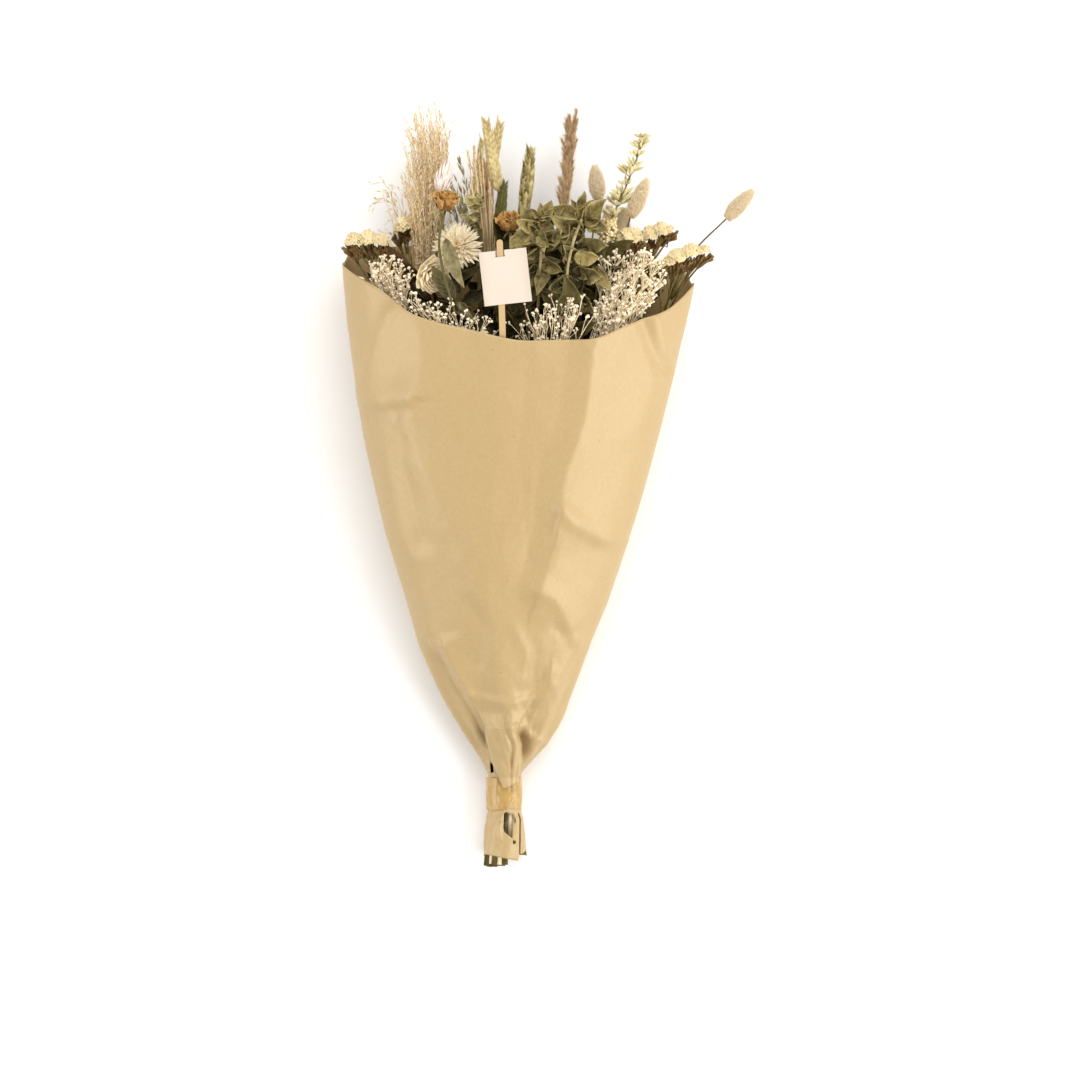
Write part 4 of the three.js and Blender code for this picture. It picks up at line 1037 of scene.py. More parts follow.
def paper_wrap(settings, material):
    """The cone of kraft paper, with its torn foot."""
    bunch = Bunch()

    def rule(co):
        turn = (co[:, 0] + 1) * math.pi
        angle = turn + 0.45 * np.cos(turn)
        return wrap_point(angle, co[:, 1], settings.crinkle / MM)

    bunch.lay(sheet(settings.columns, settings.rows), rule)
    bmesh.ops.remove_doubles(bunch.bm, verts=bunch.bm.verts, dist=0.001)
    open_foot(bunch.bm)
    bmesh.ops.recalc_face_normals(bunch.bm, faces=bunch.bm.faces)
    piece = bunch.finish("paper_cone", material, "kraft_paper", ["paper_wrap"], settings.skin / MM)
    piece.modifiers["Thickness"].offset = -1
    return piece


def open_foot(bm):
    """Tears the window, the slit and the gap over the neck into the front of the paper."""
    tears = (TORN_WINDOW, FOOT_SLIT, NECK_HOLE, PINHOLE)
    faces = [f for f in bm.faces if f.calc_center_median().y < -250 and f.calc_center_median().z > NECK_Z]
    x = np.array([f.calc_center_median().x for f in faces])
    y = np.array([f.calc_center_median().y for f in faces])
    torn = np.any([in_polygon(x, y, corners) for corners in tears], axis=0)
    bmesh.ops.delete(bm, geom=[f for f, gone in zip(faces, torn) if gone], context="FACES")
    edge = [v for v in bm.verts if v.is_boundary and v.co.z > NECK_Z and -331 < v.co.y < -250]
    for vertex in edge:
        torn_edge = min((nearest_on(vertex.co, corners) for corners in tears), key=lambda n: n[0])
        if torn_edge[0] < 1.2:
            vertex.co.xy = torn_edge[1]


def nearest_on(place, corners):
    """Distance to a polygon's outline, and the nearest point of the outline."""
    best = (1e9, None)
    for start, end in zip(corners, [*corners[1:], corners[0]]):
        start, end = Vector(start), Vector(end)
        point, share = intersect_point_line(place.xy, start, end)
        point = start.lerp(end, min(1, max(0, share)))
        best = min(best, ((point.xy - place.xy).length, point.xy), key=lambda n: n[0])
    return best


def paper_rays(paper):
    """The paper as a tree that rays can be cast at."""
    return BVHTree.FromObject(paper, bpy.context.evaluated_depsgraph_get())


def over_paper(rays, x, y):
    """Height of the paper's front under each of some points."""
    heights = []
    for place in xyz(x, y, np.full_like(x, 200)) * MM:
        hit = rays.ray_cast(Vector(place), Vector((0, 0, -1)))[0]
        heights.append(hit.z / MM if hit else 0)
    return np.array(heights)


def before_paper(rays, place):
    """Whether a place would float before the front of the wrap."""
    return 15 < over_paper(rays, place[:1], place[1:2])[0] < place[2] + 2


def through_paper(rays, start, end):
    """Whether the way from one place to another meets the wrap."""
    way = Vector((end - start) * MM)
    return rays.ray_cast(Vector(start * MM), way.normalized(), way.length + 2 * MM)[0] is not None


def paper_flap(paper, material, thickness):
    """The flap of gathered paper that runs down over the neck and ends on the tape."""
    bunch = Bunch()
    steps = np.linspace(0, 1, len(FLAP_LEFT))

    def rule(co):
        across, down = (co[:, 0] + 1) / 2, co[:, 1]
        left = [np.interp(down, steps, [p[k] for p in FLAP_LEFT]) for k in (0, 1)]
        right = [np.interp(down, steps, [p[k] for p in FLAP_RIGHT]) for k in (0, 1)]
        x = lerp(left[0], right[0], across)
        y = lerp(left[1], right[1], across)
        over_tape = 30.5 - 0.022 * (x - NECK_X) ** 2
        free = smoothstep(down, 0.1, 0.4)
        stand = lerp(-0.6, 4.4, smoothstep(down, 0.02, 0.4)) + 1.4 * np.sin(np.pi * down) * free
        under = over_paper(paper_rays(paper), x, y)
        arch = np.interp(y, [-270, -258, -240, -216], [29, 34, 40, 52]) - 0.012 * (x - NECK_X) ** 2
        z = lerp(under, np.maximum(under, arch), free) + stand
        z = np.maximum(z, np.where(y < -255, over_tape, 0))
        loose = free * (1 - 0.75 * smoothstep(down, 0.82, 1))
        for middle, height, reach in FLAP_CREASES:
            line = np.interp(down, [0.2, 0.6, 1], middle)
            z += loose * height * np.maximum(0, 1 - np.abs(across - line) / reach)
        creased = ridges(xyz(x, y * 0.6, 0 * x), 0.075, 5) - 0.6
        z += loose * 1.6 * creased
        turned = smoothstep(-co[:, 0], 0.86, 1) + smoothstep(co[:, 0], 0.86, 1)
        return xyz(x, y, z - 3.2 * turned * loose - 0.5 * turned * free)

    bunch.lay(sheet(54, 90), rule)
    bmesh.ops.reverse_faces(bunch.bm, faces=bunch.bm.faces)
    bunch.finish("paper_flap", material, "kraft_paper", ["paper_wrap"], thickness)


def neck_tape(material):
    """The strip of tape round the neck, wrinkled where the paper under it is gathered."""
    bunch = Bunch()

    def rule(co):
        angle = (co[:, 0] + 1) * math.pi
        along = co[:, 1]
        round_neck = xyz(np.cos(angle) * 14, along * 9, np.sin(angle) * 14)
        wrinkle = 0.9 * (ridges(round_neck, 0.11, 4) - 0.55) + 0.3 * (ridges(round_neck, 0.3, 9) - 0.55)
        wrinkle += 0.3 * along**6 * np.sin(angle * 6)
        radius = TAPE_RADIUS + wrinkle - 0.8 * (1 - along) ** 6 * (0.5 + 0.5 * np.sin(angle * 8))
        y = lerp(TAPE_BOTTOM, TAPE_TOP, along) + 1.3 * np.sin(angle * 3 + 1) * (along - 0.5)
        return xyz(NECK_X + radius * np.cos(angle), y, NECK_Z + radius * np.sin(angle))

    bunch.lay(sheet(180, 30), rule)
    bmesh.ops.remove_doubles(bunch.bm, verts=bunch.bm.verts, dist=0.001)
    bmesh.ops.recalc_face_normals(bunch.bm, faces=bunch.bm.faces)
    bunch.finish("tape_strip", material, "tape", ["neck_tape"], 0.25)


# ---------------- card on its stick


def card_stick(material):
    """A flat wooden stick with a round upper end and softened edges."""
    foot, tip = np.array(STICK["foot"], float), np.array(STICK["tip"], float)
    length = np.linalg.norm(tip - foot)
    half = STICK["width"] / 2
    bunch = Bunch()
    bm = bunch.bm
    for trait in TRAITS:
        bm.verts.layers.float.new(trait)
    bmesh.ops.create_cube(bm, size=1)
    bmesh.ops.scale(bm, vec=(STICK["width"], length, STICK["thickness"]), verts=bm.verts)
    bmesh.ops.translate(bm, vec=(0, length / 2, -STICK["thickness"] / 2), verts=bm.verts)
    corners = [e for e in bm.edges if all(v.co.y > length - 1 for v in e.verts)]
    corners = [e for e in corners if abs(e.verts[0].co.x - e.verts[1].co.x) < 0.1]
    bmesh.ops.bevel(
        bm, geom=corners, offset=half * 0.98, segments=9, profile=0.5, affect="EDGES", material=-1
    )
    rims = [e for e in bm.edges if e.calc_face_angle(0) > 0.5]
    bmesh.ops.bevel(bm, geom=rims, offset=0.3, segments=2, profile=0.5, affect="EDGES", material=-1)
    origin, axes = pose(foot, tip - foot)
    turn = Matrix([[*row] for row in axes.T]).to_4x4()
    bmesh.ops.transform(bm, matrix=Matrix.Translation(origin) @ turn, verts=bm.verts)
    bunch.finish("wooden_stick", material, "stick_wood", ["card_stick"], smooth=False)


def blank_card(material):
    """The bare card: a folded plate whose top strip passes behind the stick."""
    foot, tip = np.array(STICK["foot"], float), np.array(STICK["tip"], float)
    slope = (tip[2] - foot[2]) / (tip[1] - foot[1])
    at_card = foot[2] + slope * (CARD["y"] - foot[1]) + GAP
    turn = math.radians(CARD["turn"])
    upwards = (-math.sin(turn), math.cos(turn), slope)
    where = pose((CARD["x"], CARD["y"], at_card), upwards, (0, -slope, 1))
    half_width, half_height = CARD["width"] / 2, CARD["height"] / 2
    slit_bottom = half_height - CARD_SLIT["drop"]
    depth = STICK["thickness"] + 2 * GAP + CARD["thickness"]
    bunch = Bunch()

    def plate(co, shrink, below, slit):
        x = co[:, 0] * (half_width - shrink)
        y = (co[:, 1] * 2 - 1) * (half_height - shrink)
        z = CARD["thickness"] / 2 + 0.5 * (co[:, 0] ** 2) * (1 - co[:, 1]) - below
        z += 0.25 * np.sin(co[:, 0] * 3 + co[:, 1] * 5)
        beside = np.abs(x - CARD_SLIT["x"]) < CARD_SLIT["width"] / 2
        z = np.where(slit & beside & (y > slit_bottom + 0.6), z - depth, z)
        return placed(xyz(x, y, z), where)

    bunch.lay(sheet(74, 84), lambda co: plate(co, 0, 0, True), 0.4)
    bm = bunch.bm
    origin, axes = where
    gone = []
    for face in bm.faces:
        x, y, z = axes @ (np.array(face.calc_center_median()) - origin)
        beside = abs(x - CARD_SLIT["x"]) < CARD_SLIT["width"] / 2 + 0.3
        if beside and slit_bottom < y < slit_bottom + 0.9:
            gone.append(face)
    bmesh.ops.delete(bm, geom=gone, context="FACES")
    bunch.finish("blank_card", material, "card_paper", ["card"], 0.5, smooth=False)


# ---------------- ears and tails


def grain(bunch, foot, tip, width, tone):
    """A plump pointed husk."""
    shape = np.array([0.25, 0.8, 1, 0.9, 0.55, 0.08]) * width / 2
    bunch.rod([lerp(foot, tip, t) for t in np.linspace(0, 1, 6)], shape, 6, tone, 0.8)


def wheat_ear(plant, material, slot, seed, awns):
    """An ear: two ranks of spikelets, each of a few husks with a short awn."""
    rng = random.Random(seed)
    bunch = Bunch()
    axis = unit(plant.axis)
    length = np.linalg.norm(plant.axis)
    across = unit(np.cross(axis, FRONT))
    facing = np.cross(across, axis)
    spin = rng.uniform(-0.7, 0.7)
    rank = math.cos(spin) * across + math.sin(spin) * facing
    edge = np.cross(rank, axis)
    for i in range(SPIKELETS):
        t = 0.01 + 0.86 * i / (SPIKELETS - 1)
        full = math.sin(math.pi * min(0.93, max(0.2, t + 0.12)) ** 0.8) ** 0.5
        at = plant.foot + axis * length * t
        side = rank * (1 if i % 2 else -1)
        for k, (out, turn, size) in enumerate(
            [(1.0, 0.0, 1.0), (0.72, 0.8, 0.92), (0.72, -0.8, 0.92), (0.25, 0.95, 0.8), (0.25, -0.95, 0.8)]
        ):
            lean = (side * out + edge * turn) * plant.slim
            start = at + lean * 1.1 * full
            tip = start + (axis * 9.4 + lean * (3.0 + 0.7 * rng.random())) * size * (0.82 + 0.18 * full)
            tone = rng.random()
            grain(bunch, start, tip, 4.3 * full * size * plant.slim, tone)
            if awns and k < 3 and rng.random() < 0.75:
                end = tip + (axis * 1.0 + lean * 0.12) * (awns * (0.5 + rng.random()))
                bunch.rod([tip - axis * 0.8, end], [0.22, 0.05], 3, tone)
    bunch.rod([plant.foot, plant.at(0.9)], [1.0, 0.6], 5, 0.6)
    bunch.finish(f"{plant.name}_ear", material, slot, [plant.name])


def hare_tail(plant, material, seed, density):
    """A soft egg-shaped grass head under a thick coat of fine bristles."""
    rng = random.Random(seed)
    bunch = Bunch()
    where, length = between(plant.foot, plant.tip)

    def profile(t):
        return 5.9 * np.sin(np.pi * np.clip(t, 0.06, 0.965) ** 0.74) ** 0.6

    def core(co):
        t = co[:, 1]
        radius = np.where((t < 0.001) | (t > 0.999), 0.6, profile(t) * 0.86)
        flat = xyz(co[:, 0] * radius, t * (length - 3), co[:, 2] * radius)
        return placed(flat, where)

    bunch.lay(rod(16, 22), core, 0.3)
    for _ in range(int(BRISTLES * density)):
        t = rng.random() ** 0.85
        turn = rng.uniform(0, 2 * math.pi)
        out = around(turn)
        root = out * float(profile(t)) * 0.84 + UP * t * (length - 3.4)
        lean = out * (0.8 - 0.45 * t) + UP + jitter(rng, 0.35, -0.2, 0.3, 0.35)
        ends = placed(np.array([root, root + unit(lean) * rng.uniform(2.2, 4.2)]), where)
        bunch.rod(ends, [0.2, 0.05], 3, rng.random())
    bunch.finish(f"{plant.name}_tail", material, "hare_tail", [f"{plant.name}_head"])


# ---------------- flowers


def strawflower(plant, whorls, outline, material, slot, seed):
    """Whorls of papery petals round a low middle."""
    rng = random.Random(seed)
    bunch = Bunch()
    axis = unit(plant.axis)
    depth = np.linalg.norm(plant.axis)
    facing = -UP if abs(axis[2]) > 0.8 else FRONT
    head = pose(plant.foot + axis * 2 * GAP, axis, facing)
    for count, reach, rise, spread, curl, start, width in whorls:
        for i in range(count):
            turn = 2 * math.pi * (i + rng.uniform(-0.3, 0.3)) / count
            side = around(turn)
            inner = plant.reach * 0.3 * math.cos(math.radians(start))
            lift = depth * (0.5 + 0.4 * math.sin(math.radians(start)))
            angle = math.radians(rise + rng.uniform(-spread, spread))
            where = pose(side * inner + UP * lift, side + UP * math.tan(angle), UP)
            length = (plant.reach * reach - inner) * rng.uniform(0.86, 1.06)
            shape = {
                "length": length,
                "width": width * rng.uniform(0.85, 1.2),
                "outline": outline,
                "curl": curl + rng.uniform(-0.25, 0.3),
                "cup": rng.uniform(0.3, 0.8),
                "ruffle": 0.22,
                "phase": rng.uniform(0, 6),
            }
            bunch.blade((4, 8), shape, (where, head), rng.random())
    bunch.finish(f"{plant.name}_petals", material, slot, [f"{plant.name}_bloom"], 0.22)
    return head, depth


def strawflower_middle(plant, head, depth, radius, material, slot, seed):
    """The raised middle: a dome of tiny tube florets."""
    rng = random.Random(seed)
    bunch = Bunch()
    bunch.lay(bead(3), lambda co: placed(co * [radius, depth * 0.42, radius] + UP * depth * 0.5, head), 0.9)
    for i in range(TUBE_FLORETS):
        share = math.sqrt((i + 0.5) / TUBE_FLORETS)
        turn = i * GOLDEN_TURN
        out = around(turn)
        root = out * radius * share + UP * depth * (0.5 + 0.4 * math.sqrt(1 - share**2 * 0.9))
        size = 1.8 + 1.2 * share + rng.random()
        tip = root + (UP + out * (0.35 + 0.5 * share)) * size
        ends = placed(np.array([root, lerp(root, tip, 0.7), tip]), head)
        bunch.rod(ends, [0.3, 0.5, 0.12], 4, rng.random())
    bunch.finish(f"{plant.name}_middle", material, slot, [f"{plant.name}_bloom"])


def rose_bud(plant, material, seed):
    """A dried rosebud: crumpled petals in three whorls, their rims rolled outwards."""
    rng = random.Random(seed)
    bunch = Bunch()
    axis = plant.axis
    length = np.linalg.norm(axis)
    head = pose(plant.foot + unit(axis) * 2 * GAP, axis)
    for whorl, (count, size, height, open_) in enumerate(
        [(5, 1.0, 0.92, 1.0), (5, 0.82, 1.0, 0.62), (4, 0.58, 1.04, 0.34), (3, 0.34, 1.02, 0.2)]
    ):
        for i in range(count):
            turn = 2 * math.pi * (i + 0.5 * (whorl % 2)) / count + rng.uniform(-0.2, 0.2)
            tall = length * height * rng.uniform(0.9, 1.08)
            phase = rng.uniform(0, 6)
            roll = rng.uniform(0.7, 1.3)

            def rule(co):
                across, rise = co[:, 0], co[:, 1]
                belly = np.interp(rise, [0, 0.2, 0.5, 0.8, 1], [0.14, 0.42, 0.5, 0.52, 0.58])
                radius = length * belly * size * (1 + 0.12 * across)
                radius += open_ * roll * 1.5 * smoothstep(rise, 0.8, 1) * (1 - 0.4 * across**2)
                radius += 0.9 * np.sin(across * 4.5 + rise * 9 + phase) * rise
                flat = xyz(across * 6, rise * 9, 0 * rise)
                radius += 2.4 * (ridges(flat, 0.3, phase) - 0.6) * rise
                wide = 0.5 + 0.5 * np.sin(np.pi * np.minimum(0.5, rise))
                angle = turn - across * math.radians(50) * wide
                y = tall * (rise * (1 - 0.2 * across**2) - 0.12 * open_ * roll * smoothstep(rise, 0.85, 1))
                ripple = 1.1 * np.sin(across * 7 + phase) * rise**2
                y += ripple + 0.5 * np.sin(across * 17 + phase) * rise**3
                places = xyz(radius * np.cos(angle), y, radius * np.sin(angle))
                return placed(places, head)

            bunch.lay(sheet(14, 14), rule, rng.random())
    bunch.finish(f"{plant.name}_petals", material, "rose", [f"{plant.name}_bud"], 0.3)


def sepals(bunch, plant, seed):
    """Five small green sepals under a rosebud."""
    rng = random.Random(seed)
    axis = plant.axis
    head = pose(plant.foot, axis)
    for i in range(5):
        turn = 2 * math.pi * i / 5 + 0.4
        side = around(turn)
        where = pose(side * 0.6, side * 0.9 + UP * rng.uniform(-0.4, 0.9), UP)
        shape = {"length": 8, "width": 2.6, "outline": ovate, "curl": -0.8, "cup": 0.3}
        bunch.blade((4, 6), shape, (where, head), rng.random())


def comb_places(plant):
    """Places along a statice comb, from its left end to its right end."""
    count = max(4, round(plant.span / 4.5))
    places = []
    for i in range(count):
        t = i / (count - 1) - 0.5
        side = 0.9 if i % 2 else -0.9
        x = plant.tip[0] + t * plant.span
        y = plant.tip[1] + t * plant.span * plant.lean - 6 * t * t - 7.5
        places.append(xyz(x, y, plant.tip[2] + side + 3 * math.cos(t * 3)))
    return places


def statice_florets(plant, material, seed, density):
    """A crest of papery cups, which lean over all round it and thin out at its ends."""
    rng = random.Random(seed)
    bunch = Bunch()
    route = smooth_route(comb_places(plant), 40)
    count = int((plant.span + 6) * 3.4 * density)
    for i in range(count):
        t = min(1, max(0, (i + rng.uniform(-0.4, 0.4)) / count))
        full = (0.05 + math.sin(math.pi * t)) ** 0.4 * (0.86 + 0.14 * math.sin(t * 19 + seed))
        tilt = math.radians((i * 47) % 165 - 62 + rng.uniform(-8, 8))
        at = route[int(t * 39)] + UP * (0.4 + (1.6 + 3.2 * math.cos(tilt)) * full)
        at = at + FRONT * (3.4 * math.sin(tilt) * full + rng.uniform(-0.5, 0.5))
        lean = xyz((t - 0.5) * 0.5 + rng.uniform(-0.35, 0.35), math.cos(tilt), math.sin(tilt))
        where = pose(at, lean, (0.3, -0.6, 0.7))
        tall = rng.uniform(5.0, 6.8) * full
        radius = rng.uniform(2.2, 3.2) * full
        phase = rng.uniform(0, 6)

        def rule(co):
            rise = co[:, 1]
            turn = np.arctan2(co[:, 2], co[:, 0])
            flare = np.interp(rise, [0, 0.3, 0.62, 0.8, 0.92, 1], [0.16, 0.4, 0.95, 1.05, 0.72, 0.2])
            ruffle = 1 + 0.24 * np.sin(5 * turn + phase) * smoothstep(rise, 0.3, 0.8)
            ruffle += 0.1 * np.sin(11 * turn + 2 * phase) * rise
            y = tall * np.interp(rise, [0, 0.8, 1], [0, 1, 0.78])
            y = y + 0.7 * np.sin(5 * turn + phase + 1.2) * smoothstep(rise, 0.5, 0.9)
            spread = radius * flare * ruffle
            return placed(xyz(np.cos(turn) * spread, y, np.sin(turn) * spread), where)

        bunch.lay(rod(14, 8), rule, rng.random())
    bunch.finish(f"{plant.name}_crest", material, "statice", [f"{plant.name}_florets"])


def statice_stem(plant, materials, seed):
    """The winged stem, its forked branches and the row of narrow brown cups under the florets."""
    rng = random.Random(seed)
    bunch, green = Bunch(), Bunch()
    lay_stem(green, plant, 1.5, 1.1)
    places = comb_places(plant)
    for i, place in enumerate(places):
        start = stem_at(plant, plant.foot[1] - (2 if i % 3 else 22))
        neck = lerp(start, place, 0.72) + FRONT * rng.uniform(-1, 1)
        route = smooth_route([start, lerp(start, neck, 0.5), neck, place], 10)
        green.rod(route, np.linspace(0.9, 0.65, 10), 5, rng.random())
        for _ in range(CUPS):
            tip = place + jitter(rng, 4, -5, 1.5, 3.4)
            at = tip + unit(neck + jitter(rng, 2, -2, 2, 1) - tip) * rng.uniform(7, 10.5)
            bunch.rod([lerp(neck, start, 0.1), at], [0.3, 0.35], 4, rng.random())
            cup = [lerp(at, tip, t) for t in (0, 0.4, 0.85, 1)]
            bunch.rod(cup, [0.35, 0.6, 1.0, 0.3], 5, rng.random())
            bunch.rod([at, at + unit(tip - at + jitter(rng, 0.5, 0, 0.4, 0.5)) * 5], [0.5, 0.1], 4, 0.2)
    for drop, length, slip in ((46, 44, -1.6), (34, 30, 1.8), (60, 34, 0.6)):
        start = stem_at(plant, plant.foot[1] - drop) + xyz(slip, 0, 0.8)
        where = pose(start, stem_at(plant, plant.foot[1]) - start + xyz(2 * slip, 0, 0))
        wing = {"length": length, "width": 4.6, "outline": ovate, "fold": 0.3, "ruffle": 0.5}
        green.blade((4, 18), wing, (where,), rng.random())
    bunch.finish(f"{plant.name}_cups", materials[0], "calyx", [plant.stem])
    green.finish(f"{plant.name}_branches", materials[1], "green_stem", [plant.stem])


def gypsophila_floret(bunch, place, direction, size, rng):
    """A tiny double floret: a ruffled cup on its thin stalk."""
    where = pose(place, direction, UP if abs(unit(direction)[2]) > 0.8 else FRONT)
    phase = rng.uniform(0, 6)

    def rule(co):
        turn = np.arctan2(co[:, 2], co[:, 0])
        flare = np.interp(co[:, 1], [0, 0.34, 0.67, 1], [0.3, 0.8, 1.0, 0.45])
        spread = size * flare * (1 + 0.28 * np.sin(5 * turn + phase) * (co[:, 1] > 0.5))
        y = size * 1.7 * co[:, 1] + 0.25 * size * np.sin(3 * turn + phase) * (co[:, 1] > 0.6)
        return placed(xyz(np.cos(turn) * spread, y, np.sin(turn) * spread), where)

    bunch.lay(rod(7, 4), rule, rng.random())


def gypsophila(plant, rays, materials, seed, density):
    """A spray: branches fork two or three times into stalked florets."""
    rng = random.Random(seed)
    twigs, florets = Bunch(), Bunch()
    lay_stem(twigs, plant, 1.3, 0.8)
    draw = draws(seed)
    reach = plant.axis
    across = unit(xyz(1, plant.lean, 0))
    branches = 5
    for i in range(branches):
        t = (i + 0.5) / branches - 0.5
        start = stem_at(plant, plant.foot[1] - 2 - 8 * ((i * 2) % branches))
        end = plant.foot + reach * (0.95 - 0.7 * t * t) + across * t * plant.spread[0]
        end = end + FRONT * (next(draw) - 0.5) * plant.spread[1] - unit(reach) * 6
        ends = [end]
        for side in (-1, 1):
            ends.append(end + xyz(side * (5 + 3 * next(draw)), -5 - 7 * next(draw), side * 3))
        for arm in ends:
            arm = arm + UP * 9 if before_paper(rays, arm) else arm
            if not before_paper(rays, arm) and not through_paper(rays, start, arm):
                spread_twig(twigs, florets, rays, start, arm, rng, int(plant.forks * density))
    twigs.finish(f"{plant.name}_twigs", materials[0], "gypsophila", [plant.stem])
    florets.finish(f"{plant.name}_florets", materials[1], "gypsophila", [plant.stem])


def jitter(rng, x, low, high, z):
    """A small random offset: both ways across and in depth, and from low to high along."""
    return xyz(rng.uniform(-x, x), rng.uniform(low, high), rng.uniform(-z, z))


def spread_twig(twigs, florets, rays, start, end, rng, forks):
    """One branch of a spray with its side twigs and florets, all behind the wrap's rim."""
    route = smooth_route([start, lerp(start, end, 0.45) + jitter(rng, 2, 0, 0, 2), end], 9)
    twigs.rod(route, np.linspace(0.6, 0.32, 9), 5, rng.random())
    heading = unit(end - start)
    for _ in range(forks):
        at = route[rng.randrange(3, 9)]
        lean = unit(heading + jitter(rng, 0.65, -0.1, 0.4, 0.6))
        fork = at + lean * rng.uniform(5, 13)
        if before_paper(rays, fork + UP * 2) or through_paper(rays, at, fork):
            continue
        twigs.rod([at, lerp(at, fork, 0.5) + heading * 0.6, fork], [0.3, 0.26, 0.22], 4, rng.random())
        for _ in range(rng.choice((1, 2, 3))):
            turned = unit(lean + jitter(rng, 0.8, 0, 0.5, 0.6))
            bud = fork + turned * rng.uniform(1.6, 4.2)
            if before_paper(rays, bud - UP) or through_paper(rays, fork, bud):
                continue
            twigs.rod([fork, bud], [0.22, 0.16], 3, rng.random())
            gypsophila_floret(florets, bud, turned, rng.uniform(0.7, 1.35), rng)


def yarrow_head(plant, material, seed):
    """A tight head of small buttons."""
    rng = random.Random(seed)
    bunch = Bunch()
    along = plant.axis
    for i in range(BUTTONS):
        t = (i + 0.5) / BUTTONS
        turn = i * GOLDEN_TURN + rng.uniform(-0.5, 0.5)
        away = 5.6 * math.sqrt(math.sin(math.pi * (0.14 + 0.78 * t))) * rng.uniform(0.75, 1.08)
        at = plant.at(0.12 + 0.74 * t) + jitter(rng, 0.7, -1.2, 1.2, 0.7)
        at = at + (around(turn) * away + UP)
        lean = around(turn, 0.8)
        gypsophila_floret(bunch, at, lean, rng.uniform(1.0, 1.6), rng)
        if i % 3 == 0:
            bunch.rod([plant.foot + along * 0.1 * rng.random(), at], [0.5, 0.3], 4, 0.9)
    bunch.finish("yarrow_buttons", material, "yarrow", ["yarrow_head"])


def larkspur(plant, materials, seed):
    """A stalk with whorls of dry three-pointed pods."""
    rng = random.Random(seed)
    stalk, pods = Bunch(), Bunch()
    bend = plant.at(0.5) + xyz(2, 2, 0)
    lay_stem(stalk, plant, 1.4, 0.7, [bend, plant.tip])
    draw = draws(seed)
    count = 19
    for i in range(count):
        t = 0.97 * i / (count - 1)
        t += 0.035 * math.sin(2 * math.pi * 3.85 * (t + 0.04))
        at = lerp(plant.foot, bend, 2 * t) if t < 0.5 else lerp(bend, plant.tip, 2 * t - 1)
        turn = i * LEAF_TURN + 0.5 * next(draw)
        for k in range(3):
            round_stalk = turn + 2.1 * k
            out = xyz(9 * math.cos(round_stalk), 8, 5 * math.sin(round_stalk)) * (1 - 0.2 * t)
            pod_tip = at + out * rng.uniform(0.75, 1.1) + jitter(rng, 2, -3, 2, 2)
            neck = lerp(at, pod_tip, 0.26)
            stalk.rod([at, neck], [0.45, 0.35], 4, rng.random())
            for prong in range(3):
                spread = 2.1 * math.pi * prong / 3 + turn
                fan = xyz(2.6 * math.cos(spread), rng.uniform(-0.5, 1), 2.4 * math.sin(spread))
                tip = pod_tip + fan
                steps = np.linspace(0, 1, 5)
                route = [lerp(neck, tip, s) + fan * 0.25 * math.sin(math.pi * s) for s in steps]
                pods.rod(route, [0.35, 1.0, 1.2, 0.75, 0.08], 5, rng.random())
    stalk.finish("larkspur_stalk", materials[0], "pods", ["larkspur"])
    pods.finish("larkspur_pods", materials[1], "pods", ["larkspur"])


# ---------------- grasses


def spikelet(bunch, at, lean, length, width, tone):
    """A small pointed seed."""
    tip = at + lean * length
    bunch.rod([at, lerp(at, tip, 0.4), tip], [0.05, width / 2, 0.04], 3, tone)


def grass_stalk(bunch, route, rng, seeds, size, lean, first):
    """A thin stalk with pointed seeds on hair-thin side stalks."""
    bunch.rod(route, np.linspace(0.36, 0.14, len(route)), 4, rng.random())
    for k in range(seeds):
        share = first + (1 - first) * rng.random() ** 0.9
        i = min(len(route) - 2, int(share * (len(route) - 1)))
        at = lerp(route[i], route[i + 1], rng.random())
        heading = unit(route[i + 1] - route[i])
        turned = unit(heading + jitter(rng, 1, -0.2, 0.6, 1) * lean)
        hang = at + turned * rng.uniform(1.2, 4.2)
        if k % 2:
            bunch.rod([at, hang], [0.12, 0.08], 3, rng.random())
        length = size * rng.uniform(0.7, 1.3)
        spikelet(bunch, hang, unit(turned + heading * 0.6), length, size * 0.22, rng.random())


def grass_starts(plant, stalks, low, depth):
    """Where the stalks of a grass leave its stem: the share across, from -0.5 to 0.5, and the place."""
    for i in range(stalks):
        t = (i + 0.5) / stalks - 0.5
        yield t, stem_at(plant, plant.foot[1] - low - depth * ((i * 5) % stalks) / stalks)


def tan_plume(material, density):
    """A broad feathery brush of fine grass."""
    rng = random.Random(74)
    plant = TAN_PLUME
    bunch = Bunch()
    lay_stem(bunch, plant, 1.4, 1.4)
    for t, start in grass_starts(plant, 150, 32, 60):
        start = start + xyz(t * 16, 0, 0)
        reach = 1 - 0.45 * rng.random() ** 1.2
        end = plant.at(reach) + jitter(rng, 3, 0, 0, 13)
        wide = 36 if t < 0 else 26
        end = end + xyz(t * wide * (0.5 + 0.6 * reach), -abs(t) * 26, 0)
        middle = lerp(start, end, 0.55) + xyz(-t * 7, 3, 0) + jitter(rng, 2, 0, 0, 3)
        droop = end + xyz(-1 + 2 * t, 5, 0) + jitter(rng, 2, -2, 2, 0)
        route = smooth_route([start, middle, end, droop], 12)
        grass_stalk(bunch, route, rng, int(58 * density), 3.3, 0.36, 0.4)
    bunch.finish("tan_plume_brush", material, "tan_plume", ["tan_plume"])


